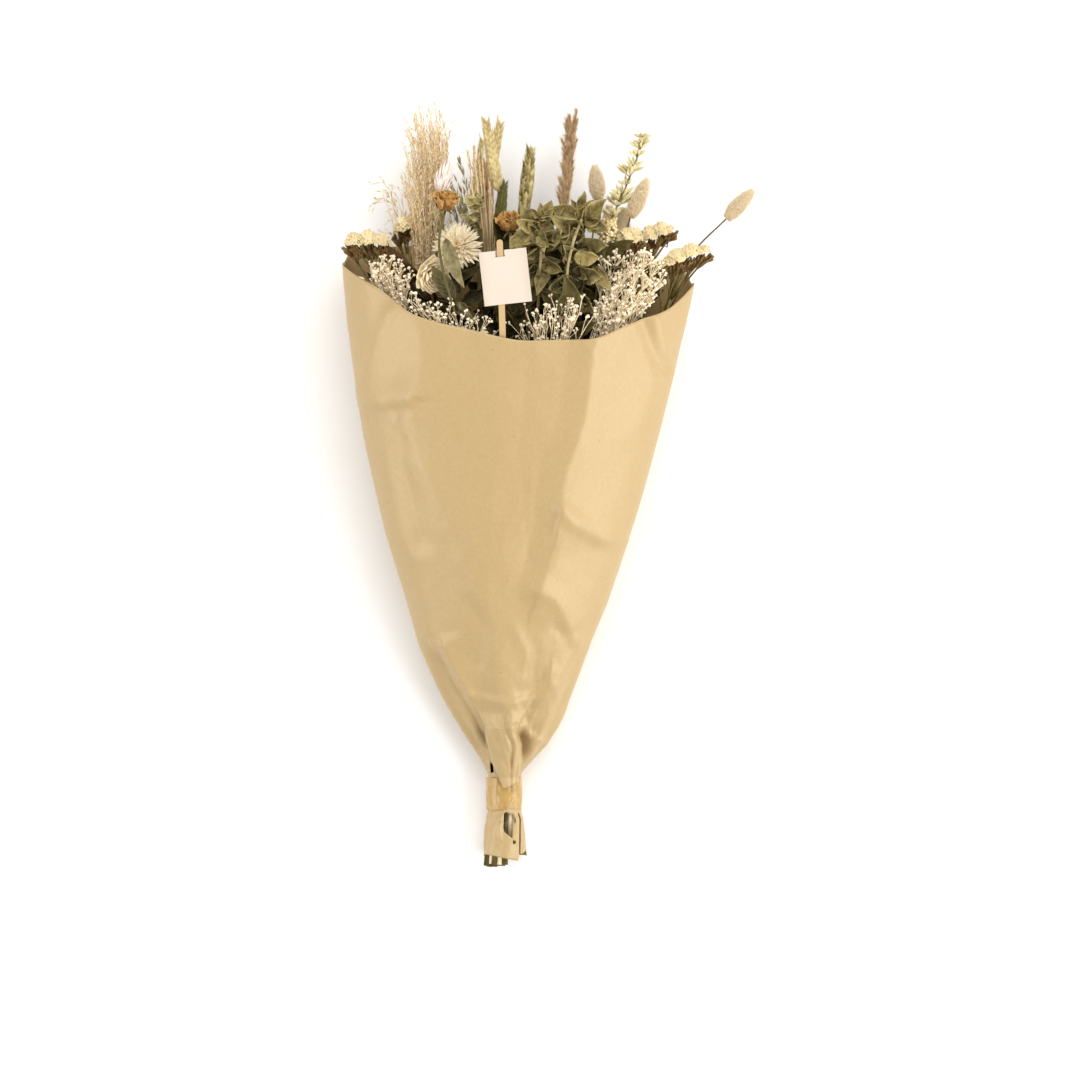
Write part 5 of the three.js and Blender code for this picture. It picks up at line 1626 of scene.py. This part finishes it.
def fine_grass(material, density):
    """Thin drooping stalks to the left of the plume."""
    rng = random.Random(75)
    plant = FINE_GRASS
    bunch = Bunch()
    lay_stem(bunch, plant, 1.2, 0.8)
    for t, start in grass_starts(plant, 10, 2, 50):
        reach = 1 - 0.6 * rng.random()
        end = plant.at(reach)
        end = end + xyz(t * 18 + 3 - 6 * (1 - reach), 0, rng.uniform(-5, 5))
        middle = lerp(start, end, 0.6) + xyz(4, 4, 0)
        droop = end + xyz(-5, rng.uniform(-5, 2), 0)
        route = smooth_route([start, middle, end, droop], 14)
        grass_stalk(bunch, route, rng, int(13 * density), 4.2, 0.6, 0.6)
    bunch.finish("fine_grass_stalks", material, "tan_plume", ["fine_grass"])


def straw_bunch(materials, density):
    """Straight stalks with slim ears, and a few greenish drooping oats."""
    rng = random.Random(76)
    plant = STRAW_BUNCH
    bunch = Bunch()
    lay_stem(bunch, plant, 1.4, 1.2)
    for t, start in grass_starts(plant, 52, 2, 70):
        reach = 1 - 0.28 * rng.random()
        end = plant.at(reach)
        end = end + xyz(t * 20 * (0.5 + 0.6 * reach) + rng.uniform(0, 6), 0, rng.uniform(0, 42))
        middle = lerp(start, end, 0.5) + jitter(rng, 2, 0, 0, 0) + xyz(3, 0, 14)
        route = smooth_route([start, middle, end], 12)
        bunch.rod(route, np.linspace(0.8, 0.4, 12), 5, rng.random())
        ear = rng.uniform(14, 30)
        heading = unit(route[-1] - route[-2])
        for _ in range(int(20 * density)):
            at = end - heading * ear * rng.random()
            side = jitter(rng, 0.3, 0, 0.1, 0.3)
            spikelet(bunch, at, unit(heading + side), rng.uniform(3.5, 6), 1.1, rng.random())
    bunch.finish("straw_stalks", materials[0], "straw", ["straw_bunch"])
    oats = Bunch()
    for i in range(7):
        start = stem_at(plant, plant.foot[1] - 10 - 5 * i)
        end = xyz(rng.uniform(-50, -36), rng.uniform(186, 226), rng.uniform(30, 42))
        route = smooth_route([start, lerp(start, end, 0.6) + xyz(3, 0, 3), end], 12)
        grass_stalk(oats, route, rng, int(16 * density), 7.5, 0.5, 0.62)
    oats.finish("oat_stalks", materials[1], "straw", ["straw_bunch"])


def brown_plume(material, density):
    """A reed plume: short side plumes packed with hair-fine spikelets."""
    rng = random.Random(73)
    plant = BROWN_PLUME
    bunch = Bunch()
    lay_stem(bunch, plant, 1.3, 1.0, [plant.tip])
    for i in range(SIDE_PLUMES):
        t = i / SIDE_PLUMES
        at = plant.at(0.01 + 0.84 * t)
        turn = i * LEAF_TURN
        width = lerp(5.4, 6.4, t) * rng.uniform(0.5, 1.1)
        tip = at + xyz(math.cos(turn) * width, rng.uniform(16, 23), math.sin(turn) * width * 0.8)
        route = smooth_route([at, lerp(at, tip, 0.5) + UP * 1.5, tip], 7)
        bunch.rod(route, np.linspace(0.45, 0.12, 7), 4, 0.8)
        for _ in range(int(SIDE_SPIKELETS * density)):
            k = rng.randrange(0, 6)
            root = lerp(route[k], route[k + 1], rng.random())
            heading = unit(route[k + 1] - route[k])
            lean = unit(heading + jitter(rng, 0.7, 0, 0.5, 0.7))
            spikelet(bunch, root, lean, rng.uniform(3, 5.4), 0.46, rng.random())
            if rng.random() < 0.7:
                bunch.rod([root, root + lean * rng.uniform(4.5, 8)], [0.1, 0.04], 3, 0.05)
    bunch.finish("brown_plume_head", material, "brown_plume", ["brown_plume"])


# ---------------- leaves


def leaf(bunch, where, length, width, rng, curl=0.4, fold=0.3, teeth=0.1, detail=(10, 20), tone=None):
    """A dried leaf with toothed edges, a sunken midrib and crumpled halves."""
    phases = [rng.uniform(0, 6) for _ in range(4)]
    twist = rng.uniform(-0.9, 0.9)
    rolls = rng.uniform(-0.2, 1.4), rng.uniform(-0.2, 1.4)
    bend = rng.uniform(-0.12, 0.12)

    def rule(co):
        across, along = co[:, 0].copy(), co[:, 1]
        saw = np.abs((along * 9 + phases[0]) % 1 - 0.5) * 2
        co = co.copy()
        co[:, 0] = across * (1 + teeth * (saw - 0.5) * np.abs(across) ** 4)
        bent = blade(co, length, width, ovate, curl, fold, 0, width * 0.09, phases[1])
        flat = xyz(bent[:, 0], 0.6 * along * length, 0 * along)
        crumple = ridges(flat, 2.4 / width, phases[2]) + 0.5 * ridges(flat, 5.5 / width, phases[3]) - 0.9
        veins = np.cos((along * 7 - np.abs(across) * 1.6) * 2 * np.pi)
        full = ovate(along)
        bent[:, 0] += bend * length * along**2
        bent[:, 2] += min(2.4, width * 0.2) * crumple * np.minimum(1, 0.3 + np.abs(across)) * full
        bent[:, 2] += 0.014 * width * veins * np.minimum(1, np.abs(across) * 3) * full
        bent[:, 2] -= 0.5 * np.exp(-((across / 0.1) ** 2)) * full
        bent[:, 2] += np.where(across > 0, *rolls) * width * 0.3 * np.abs(across) ** 3 * full
        angle = twist * along**2
        turned = bent.copy()
        turned[:, 0] = bent[:, 0] * np.cos(angle) - bent[:, 2] * np.sin(angle)
        turned[:, 2] = bent[:, 0] * np.sin(angle) + bent[:, 2] * np.cos(angle)
        return placed(turned, where)

    shade = rng.random()
    bunch.lay(sheet(*detail), rule, shade if tone is None else tone)


def leafy_stem(plant, materials, slot, seed):
    """Crumpled leaves in whorls on one stem, each on a short stalk. The lower leaves get a darker tone:
    painted shade.
    """
    rng = random.Random(seed)
    draw = draws(seed)
    stalk, leaves = Bunch(), Bunch()
    top = lerp(plant.tip, plant.foot, 0.15)
    pale = plant.name == "pale_leafy_stem"
    lay_stem(stalk, plant, 1.5, 1.2, FRONT_STALKS.get(plant.name, [top]))
    for i in range(plant.leaves):
        t = 1 - i / plant.leaves
        at = plant.at(t * 0.9 - 0.12)
        turn = i * 2.1 + 0.7 * next(draw)
        out = xyz(math.cos(turn), 1.1 * t - 0.35, 0.4 * math.sin(turn) + (0.2 if pale else 0))
        if pale:
            out[0] = -1.4 * abs(out[0])
        length = plant.size * (0.8 + 0.35 * next(draw))
        width = plant.size * (0.42 + 0.2 * next(draw))
        curl = 0.4 + 0.8 * next(draw)
        fold = 0.3 + 0.5 * next(draw)
        # Lower leaves get a darker tone: painted shade deep in the bouquet.
        shade = rng.uniform(0, 0.6) + 0.9 * (1 - t)
        leaf(leaves, pose(at, out, (0, -0.2, 1)), length, width, rng, curl, fold, tone=shade)
        stalk.rod([at - UP, at + unit(out) * 3], [0.6, 0.45], 5, rng.random())
        for side in (-1, 0, 1):
            beside = unit(out) + jitter(rng, 0.5, -0.7, 0.5, 0.4) + 0.6 * side * unit(np.cross(out, FRONT))
            size = length * rng.uniform(0.4, 0.75)
            where = pose(at + UP * rng.uniform(-5, 5), beside, jitter(rng, 0.5, -0.8, 0.2, 0) + FRONT)
            width = size * rng.uniform(0.36, 0.56)
            # Lower leaves get a darker tone: painted shade deep in the bouquet.
            shade = rng.uniform(0, 0.9) + 0.8 * (1 - t)
            leaf(leaves, where, size, width, rng, rng.uniform(0, 1.4), 0.6, 0.1, (8, 12), shade)
    for start, end, width, shade in FRONT_LEAVES.get(plant.name, []):
        where, length = between(start, end, jitter(rng, 0.35, -0.5, 0.1, 0) + FRONT)
        leaf(leaves, where, length, width, rng, rng.uniform(0.1, 0.8), 0.4, 0.1, (12, 22), shade)
    for i in range(14):
        turn = i * LEAF_TURN
        out = xyz(math.cos(turn), 0.3 + 0.7 * rng.random(), 0.8 * math.sin(turn) + 0.4)
        size = plant.size * rng.uniform(0.3, 0.55)
        where = pose(top + jitter(rng, 2, -4, 4, 2), out, (0, -0.4, 1))
        leaf(leaves, where, size, size * 0.5, rng, rng.uniform(-0.6, 0.9), 0.5, 0.1, (6, 10), 0.1)
    stalk.finish(f"{plant.name}_stalk", materials[0], slot, [plant.name])
    leaves.finish(f"{plant.name}_leaves", materials[1], slot, [plant.name], 0.3)


def lower_leaves(plant, material, seed, count, size):
    """Leaves that a stem keeps below its head, deep in the wrap, coloured dark as painted shade."""
    rng = random.Random(seed)
    leaves = Bunch()
    top = min(145, plant.bends[0][1] - 3)
    for i in range(count):
        at = stem_at(plant, lerp(max(22, top - 95), top, (i + rng.random()) / count))
        turn = i * LEAF_TURN + rng.uniform(-0.5, 0.5)
        out = xyz(math.cos(turn), rng.uniform(0.3, 1.5), 0.5 * math.sin(turn))
        length = size * rng.uniform(0.7, 1.2)
        where = pose(at, out, jitter(rng, 0.5, -0.3, 0.3, 0) + FRONT)
        width = length * rng.uniform(0.3, 0.55)
        leaf(leaves, where, length, width, rng, rng.uniform(-0.4, 0.9), rng.uniform(0.1, 0.6), 0.1, (8, 16))
    leaves.finish(f"{plant.name}_lower_leaves", material, "leaf", [plant.stem], 0.3)


def rose_stem(plant, materials, seed):
    """A rose's stem with its sepals and its narrow folded leaves."""
    rng = random.Random(seed)
    stalk, leaves = Bunch(), Bunch()
    lay_stem(stalk, plant, 1.4, 1.0)
    for start, end, width, fold, shade in plant.leaves:
        where, length = between(start, end)
        leaf(leaves, where, length, width, rng, 0.0, fold, 0.06, (14, 30), shade)
    sepals(leaves, plant, seed)
    stalk.finish(f"{plant.name}_stalk", materials[0], "pale_leaf", [plant.stem])
    leaves.finish(f"{plant.name}_leaves", materials[1], "pale_leaf", [plant.stem], 0.3)


def brown_leaf(materials):
    """The broad rust-brown leaf at the left."""
    rng = random.Random(97)
    plant = BROWN_LEAF
    stalk, leaves = Bunch(), Bunch()
    lay_stem(stalk, plant, 1.3, 1.2)
    along = plant.axis
    start = stem_at(plant, plant.foot[1] - 3) + FRONT * 6
    length = np.linalg.norm(along) * 1.02
    leaf(leaves, pose(start, along, (0.2, 0, 1)), length, 34, rng, 0.25, 0.12, 0.03, (24, 60))
    stalk.finish("brown_leaf_stalk", materials[0], "brown_leaf", ["brown_leaf"])
    leaves.finish("brown_leaf_blade", materials[1], "brown_leaf", ["brown_leaf"], 0.3)


# ---------------- operators


class BOUQUET_OT_wrap(bpy.types.Operator):
    """Make the paper wrap, its flap and the tape round the neck"""

    bl_idname = "bouquet.wrap"
    bl_label = "Paper Wrap and Tape"
    bl_options = {"REGISTER", "UNDO"}

    def execute(self, context):
        settings = context.scene.bouquet_wrap
        kraft = kraft_material(settings.kraft)
        paper_flap(paper_wrap(settings, kraft), kraft, settings.skin / MM)
        neck_tape(tape_material(settings.tape))
        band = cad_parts["stem_band"]
        band.data.materials.clear()
        band.data.materials.append(dry_material("Rubber Band", settings.band, roughness=0.8, bump=0.3))
        return {"FINISHED"}


class BOUQUET_OT_card(bpy.types.Operator):
    """Make the blank card and the wooden stick it hangs on"""

    bl_idname = "bouquet.card"
    bl_label = "Card on its Stick"
    bl_options = {"REGISTER", "UNDO"}

    def execute(self, context):
        settings = context.scene.bouquet_wrap
        wood = dry_material(
            "Birch Stick", settings.stick, bump=0.3, Tone_Amount=0.0, Blotch_Amount=0.9, Blotch_Scale=60.0
        )
        card_stick(wood)
        blank_card(card_material(settings.card))
        return {"FINISHED"}


class BOUQUET_OT_wheat(bpy.types.Operator):
    """Make the ears of wheat and their straws"""

    bl_idname = "bouquet.wheat"
    bl_label = "Wheat"
    bl_options = {"REGISTER", "UNDO"}

    def execute(self, context):
        colours = context.scene.bouquet_plants
        gold = dry_material("Wheat Husk", colours.wheat, Base_Amount=0.5, Tip_Amount=0.4, tip="ead9a6")
        green = dry_material("Green Wheat Husk", colours.green_wheat, Base_Amount=0.4)
        olive = dry_material("Olive Wheat Husk", hue("d6c488"), "6e6030", Base_Amount=0.6, Tone_Amount=0.9)
        straw = stem_material("Wheat Straw", colours.pale_stem)
        for i, plant in enumerate(WHEAT):
            slot = "green_wheat" if plant.name == "green_wheat" else "wheat"
            husk = {"green_wheat": green, "wheat_5": olive}.get(plant.name, gold)
            wheat_ear(plant, husk, slot, 11 + i, 3.5 if i < 2 else 2.0)
            bare_stem(plant, straw, slot, 1.5, 1.0)
        return {"FINISHED"}


class BOUQUET_OT_hare_tails(bpy.types.Operator):
    """Make the hare's-tail grasses"""

    bl_idname = "bouquet.hare_tails"
    bl_label = "Hare's Tails"
    bl_options = {"REGISTER", "UNDO"}

    def execute(self, context):
        colours = context.scene.bouquet_plants
        amounts = {"down": 0.4, "Tip_Amount": 0.6, "Tone_Amount": 0.35}
        fur = dry_material("Hare's Tail Bristles", colours.hare_tail, "cda975", "fbf0d8", **amounts)
        straw = stem_material("Hare's Tail Straw", colours.pale_stem)
        for i, plant in enumerate(LAGURUS):
            hare_tail(plant, fur, 21 + i, colours.density)
            bare_stem(plant, straw, "pale_stem", 1.3, 0.65)
        return {"FINISHED"}


# Whorls of each strawflower: petals, reach, rise, spread of the rise, curl, start angle, width
STRAWFLOWER_WHORLS = [
    [
        (30, 1.06, 2, 8, 0.05, -10, 2.2),
        (32, 1.0, 8, 8, 0.1, 0, 2.2),
        (32, 0.9, 15, 9, 0.15, 20, 2.1),
        (28, 0.8, 24, 10, 0.2, 40, 2.0),
        (24, 0.66, 34, 11, 0.3, 62, 1.9),
        (16, 0.5, 48, 13, 0.4, 80, 1.8),
    ],
    [
        (12, 1.1, -12, 8, 1.2, -15, 9.5),
        (12, 1.06, 8, 8, 1.2, 0, 9.0),
        (11, 0.94, 26, 8, 1.1, 15, 7.5),
        (10, 0.76, 44, 8, 0.9, 30, 5.6),
        (10, 0.56, 60, 8, 0.8, 46, 3.6),
    ],
    [
        (18, 1.9, 38, 14, 1.3, -50, 2.5),
        (18, 2.3, 52, 12, 1.15, -40, 2.4),
        (16, 2.6, 64, 10, 0.95, -20, 2.2),
        (12, 2.7, 76, 6, 0.6, 0, 2.0),
    ],
]


class BOUQUET_OT_strawflowers(bpy.types.Operator):
    """Make the papery strawflowers"""

    bl_idname = "bouquet.strawflowers"
    bl_label = "Strawflowers"
    bl_options = {"REGISTER", "UNDO"}

    def execute(self, context):
        colours = context.scene.bouquet_plants
        ribbed = {"relief": petal_ribs_group, "roughness": 0.5}
        faint = {"Base_Amount": 0.1, "Tone_Amount": 0.1, "Blotch_Amount": 0.1}
        uneven = {"Base_Amount": 0.5, "Tone_Amount": 0.2, "Blotch_Amount": 0.2}
        cream = dry_material("Strawflower Petal", colours.strawflower, "f4d298", **ribbed, **faint)
        pink = dry_material(
            "Pink Strawflower Petal", colours.pink_strawflower, "dcbb9c", **ribbed, **uneven
        )
        middle = dry_material("Strawflower Middle", hue("e9c98e"), "b98a4a", tip="faeccb", Tip_Amount=0.7)
        stem = stem_material("Strawflower Stem", colours.green_stem)
        for i, plant in enumerate(STRAWFLOWERS):
            last = i == 2
            slot = "pink_strawflower" if last else "strawflower"
            whorls, outline = STRAWFLOWER_WHORLS[i], ovate if i == 1 else lance
            head, depth = strawflower(plant, whorls, outline, pink if last else cream, slot, 51 + i)
            if not last:
                strawflower_middle(plant, head, depth, plant.reach * 0.12, middle, slot, 57 + i)
            bare_stem(plant, stem, "green_stem", 1.4, 1.1)
        return {"FINISHED"}


class BOUQUET_OT_roses(bpy.types.Operator):
    """Make the two dried rosebuds and their leaves"""

    bl_idname = "bouquet.roses"
    bl_label = "Roses"
    bl_options = {"REGISTER", "UNDO"}

    def execute(self, context):
        colours = context.scene.bouquet_plants
        # Rose petals darken towards their bases, painted shade between the petals of the bud, and pale
        # towards their tips and rims, a painted highlight.
        amounts = {"Edge_Amount": 0.5, "Tip_Amount": 0.5, "Base_Amount": 0.7, "Blotch_Amount": 1.6}
        amounts["Blotch_Scale"] = 300.0
        petals = dry_material("Rose Petal", colours.rose, "6b3d16", "e0b06a", petal_ribs_group, **amounts)
        stem = stem_material("Rose Stem", hue("6a6436"))
        leaves = leaf_material("Rose Leaf", hue("a2966a"), "3f3719", "b4a97e", "a8925c")
        for i, plant in enumerate(ROSES):
            rose_bud(plant, petals, 41 + i)
            rose_stem(plant, (stem, leaves), 44 + i)
        return {"FINISHED"}


class BOUQUET_OT_statice(bpy.types.Operator):
    """Make the statice: crests of papery florets on winged stems"""

    bl_idname = "bouquet.statice"
    bl_label = "Statice"
    bl_options = {"REGISTER", "UNDO"}

    def execute(self, context):
        colours = context.scene.bouquet_plants
        amounts = {"Base_Amount": 0.6, "Tone_Amount": 0.35, "Blotch_Amount": 0.4}
        florets = dry_material("Statice Floret", colours.statice, "cfae66", roughness=0.6, **amounts)
        cups = dry_material("Statice Cup", colours.calyx, "33240f", "a08a55", Tip_Amount=0.6)
        branches = stem_material("Statice Branch", hue("9a9052"))
        for i, plant in enumerate(STATICE):
            statice_florets(plant, florets, 61 + i, colours.density)
            statice_stem(plant, (cups, branches), 66 + i)
        return {"FINISHED"}


class BOUQUET_OT_filler_flowers(bpy.types.Operator):
    """Make the gypsophila sprays, the larkspur and the yarrow"""

    bl_idname = "bouquet.filler_flowers"
    bl_label = "Gypsophila, Larkspur and Yarrow"
    bl_options = {"REGISTER", "UNDO"}

    def execute(self, context):
        colours = context.scene.bouquet_plants
        paper = bpy.data.objects.get("paper_cone")
        if paper is None:
            raise RuntimeError("Make the paper wrap first: the sprays stay behind its rim")
        rays = paper_rays(paper)
        cream = colours.gypsophila
        florets = dry_material("Gypsophila Floret", cream, "dcc08c", Tone_Amount=0.4, bump=0.3)
        twigs = dry_material("Gypsophila Twig", hue("fff0d0"), "dcbf88")
        for i, plant in enumerate(GYPSOPHILA):
            gypsophila(plant, rays, (twigs, florets), 81 + i, colours.density)
        stem = stem_material("Larkspur Stalk", colours.green_stem)
        pods = dry_material("Larkspur Pod", colours.pod, "9a8a4c", "f4eac4", Tip_Amount=0.6)
        larkspur(LARKSPUR, (stem, pods), 72)
        buttons = dry_material(
            "Yarrow Button", colours.yarrow, "b8954c", Tone_Amount=0.8, Blotch_Scale=600.0
        )
        yarrow_head(YARROW, buttons, 71)
        bare_stem(YARROW, stem, "green_stem", 1.3, 1.0)
        return {"FINISHED"}


class BOUQUET_OT_grasses(bpy.types.Operator):
    """Make the plumes, the fine grass and the bunch of straw"""

    bl_idname = "bouquet.grasses"
    bl_label = "Grasses"
    bl_options = {"REGISTER", "UNDO"}

    def execute(self, context):
        colours = context.scene.bouquet_plants
        # The tan plume's stalks and seeds darken towards their lower ends: painted shade in the gaps low in
        # the plume.
        amounts = {"Tip_Amount": 0.6, "Base_Amount": 0.3, "Tone_Amount": 0.5}
        plume = dry_material("Tan Plume", colours.tan_plume, "b98747", "fdf0d2", **amounts)
        tan_plume(plume, colours.density)
        fine_grass(plume, colours.density)
        straw = dry_material(
            "Straw", colours.straw, "c0945c", Base_Amount=0.2, Blotch_Scale=90.0, Tone_Amount=0.6
        )
        oats = dry_material("Oats", hue("b5ab78"), "7d7a48", "d9cfa0", Tip_Amount=0.4)
        straw_bunch((straw, oats), colours.density)
        amounts = {"down": 0.3, "Tip_Amount": 0.5, "Base_Amount": 0.4, "Tone_Amount": 0.9}
        brown = dry_material("Brown Plume", colours.brown_plume, "6a4224", "f0dcb8", **amounts)
        brown_plume(brown, colours.density)
        return {"FINISHED"}


class BOUQUET_OT_leaves(bpy.types.Operator):
    """Make the leafy stems and the brown leaf"""

    bl_idname = "bouquet.leaves"
    bl_label = "Leaves"
    bl_options = {"REGISTER", "UNDO"}

    def execute(self, context):
        colours = context.scene.bouquet_plants
        stem = stem_material("Leafy Stalk", hue("d3c08c"))
        green = leaf_material("Leaf", colours.leaf, "443c17", "bfb078", "cbb97c")
        pale = leaf_material("Pale Leaf", colours.pale_leaf, "857646", "d2c48e", "dccb92")
        rust = leaf_material("Rust Leaf", colours.brown_leaf, "2c1a08", "6e481c", "7a5022")
        # Leaves low in the wrap: their dark colour is painted shade.
        deep = leaf_material("Dark Leaf", hue("5e542a"), "28220c", "74683a", "786a38")
        for i, plant in enumerate(LEAFY):
            last = plant.name == "pale_leafy_stem"
            leafy_stem(plant, (stem, pale if last else green), "pale_leaf" if last else "leaf", 91 + i)
        brown_leaf((stem, rust))
        for i, (plant, count, size) in enumerate(LOWER_LEAVES):
            lower_leaves(plant, deep, 111 + i, count, size)
        return {"FINISHED"}


class BOUQUET_OT_stage(bpy.types.Operator):
    """Make the floor, the lights and the camera"""

    bl_idname = "bouquet.stage"
    bl_label = "Floor, Lights and Camera"
    bl_options = {"REGISTER", "UNDO"}

    def execute(self, context):
        settings = context.scene.bouquet_stage
        stage_floor(settings)
        stage_lights(settings)
        stage_camera(context, settings)
        return {"FINISHED"}


# ---------------- stage

VIEW_MIDDLE = (0.0223, -0.0796, 0.06)  # the middle of the photograph's frame
VIEW_WIDTH = 0.8594  # width of the frame at the bouquet's middle height
SENSOR = 0.036


def stage_floor(settings):
    """A pale floor."""
    bm = bmesh.new()
    bmesh.ops.create_grid(bm, x_segments=1, y_segments=1, size=6)
    mesh = bpy.data.meshes.new("floor")
    bm.to_mesh(mesh)
    bm.free()
    material, _, shader = start_material("Floor", 0.9)
    shader.inputs["Base Color"].default_value = (*settings.floor, 1)
    mesh.materials.append(material)
    new_object("floor", mesh)


def stage_lights(settings):
    """Broad lights at the right, the left and beyond the flowers, and an even sky."""
    for name, place, size, power in (
        ("key", (1.9, -0.75, 1.2), 1.8, settings.key),
        ("fill", (-1.95, -0.45, 1.2), 1.3, settings.fill),
        ("top", (0.3, 1.4, 1.8), 1.6, settings.top),
    ):
        light = bpy.data.lights.new(name, "AREA")
        light.size = size
        light.energy = power
        lamp = new_object(name, light)
        lamp.location = place
        lamp.rotation_euler = (Vector(place) - Vector((0, 0, 0.05))).to_track_quat("Z", "Y").to_euler()
    world = bpy.data.worlds.new("sky")
    world.use_nodes = True
    background = world.node_tree.nodes["Background"]
    background.inputs["Color"].default_value = (1, 1, 1, 1)
    background.inputs["Strength"].default_value = settings.world
    bpy.context.scene.world = world


def stage_camera(context, settings):
    """The camera looks straight down, with the flowers at the top of the picture."""
    data = bpy.data.cameras.new("camera")
    data.sensor_width = SENSOR / MM
    data.lens = settings.lens / MM
    camera = new_object("camera", data)
    x, y, z = VIEW_MIDDLE
    camera.location = (x, y, z + VIEW_WIDTH * settings.lens / SENSOR)
    context.scene.camera = camera
    context.scene.view_settings.view_transform = "Standard"


# ---------------- panel and run

SETTINGS = {
    "bouquet_wrap": WrapSettings,
    "bouquet_plants": PlantSettings,
    "bouquet_stage": StageSettings,
}
BUILD_ORDER = [
    BOUQUET_OT_stage,
    BOUQUET_OT_wrap,
    BOUQUET_OT_card,
    BOUQUET_OT_wheat,
    BOUQUET_OT_hare_tails,
    BOUQUET_OT_strawflowers,
    BOUQUET_OT_roses,
    BOUQUET_OT_statice,
    BOUQUET_OT_filler_flowers,
    BOUQUET_OT_grasses,
    BOUQUET_OT_leaves,
]


class BOUQUET_PT_panel(bpy.types.Panel):
    """The bouquet's pieces"""

    bl_idname = "BOUQUET_PT_panel"
    bl_label = "Dried Flower Bouquet"
    bl_space_type = "VIEW_3D"
    bl_region_type = "UI"
    bl_category = "Bouquet"

    def draw(self, context):
        for name in SETTINGS:
            box = self.layout.box()
            settings = getattr(context.scene, name)
            for key in settings.__annotations__:
                box.prop(settings, key)
        for operator in BUILD_ORDER:
            self.layout.operator(operator.bl_idname)


def register():
    for group in SETTINGS.values():
        bpy.utils.register_class(group)
    for name, group in SETTINGS.items():
        setattr(bpy.types.Scene, name, PointerProperty(type=group))
    for operator in BUILD_ORDER:
        bpy.utils.register_class(operator)
    bpy.utils.register_class(BOUQUET_PT_panel)


def unregister():
    bpy.utils.unregister_class(BOUQUET_PT_panel)
    for operator in reversed(BUILD_ORDER):
        bpy.utils.unregister_class(operator)
    for name, group in SETTINGS.items():
        delattr(bpy.types.Scene, name)
        bpy.utils.unregister_class(group)


def main():
    """Builds the bouquet."""
    register()
    for operator in BUILD_ORDER:
        getattr(bpy.ops.bouquet, operator.bl_idname.split(".")[1])()


if __name__ == "__main__":
    main()
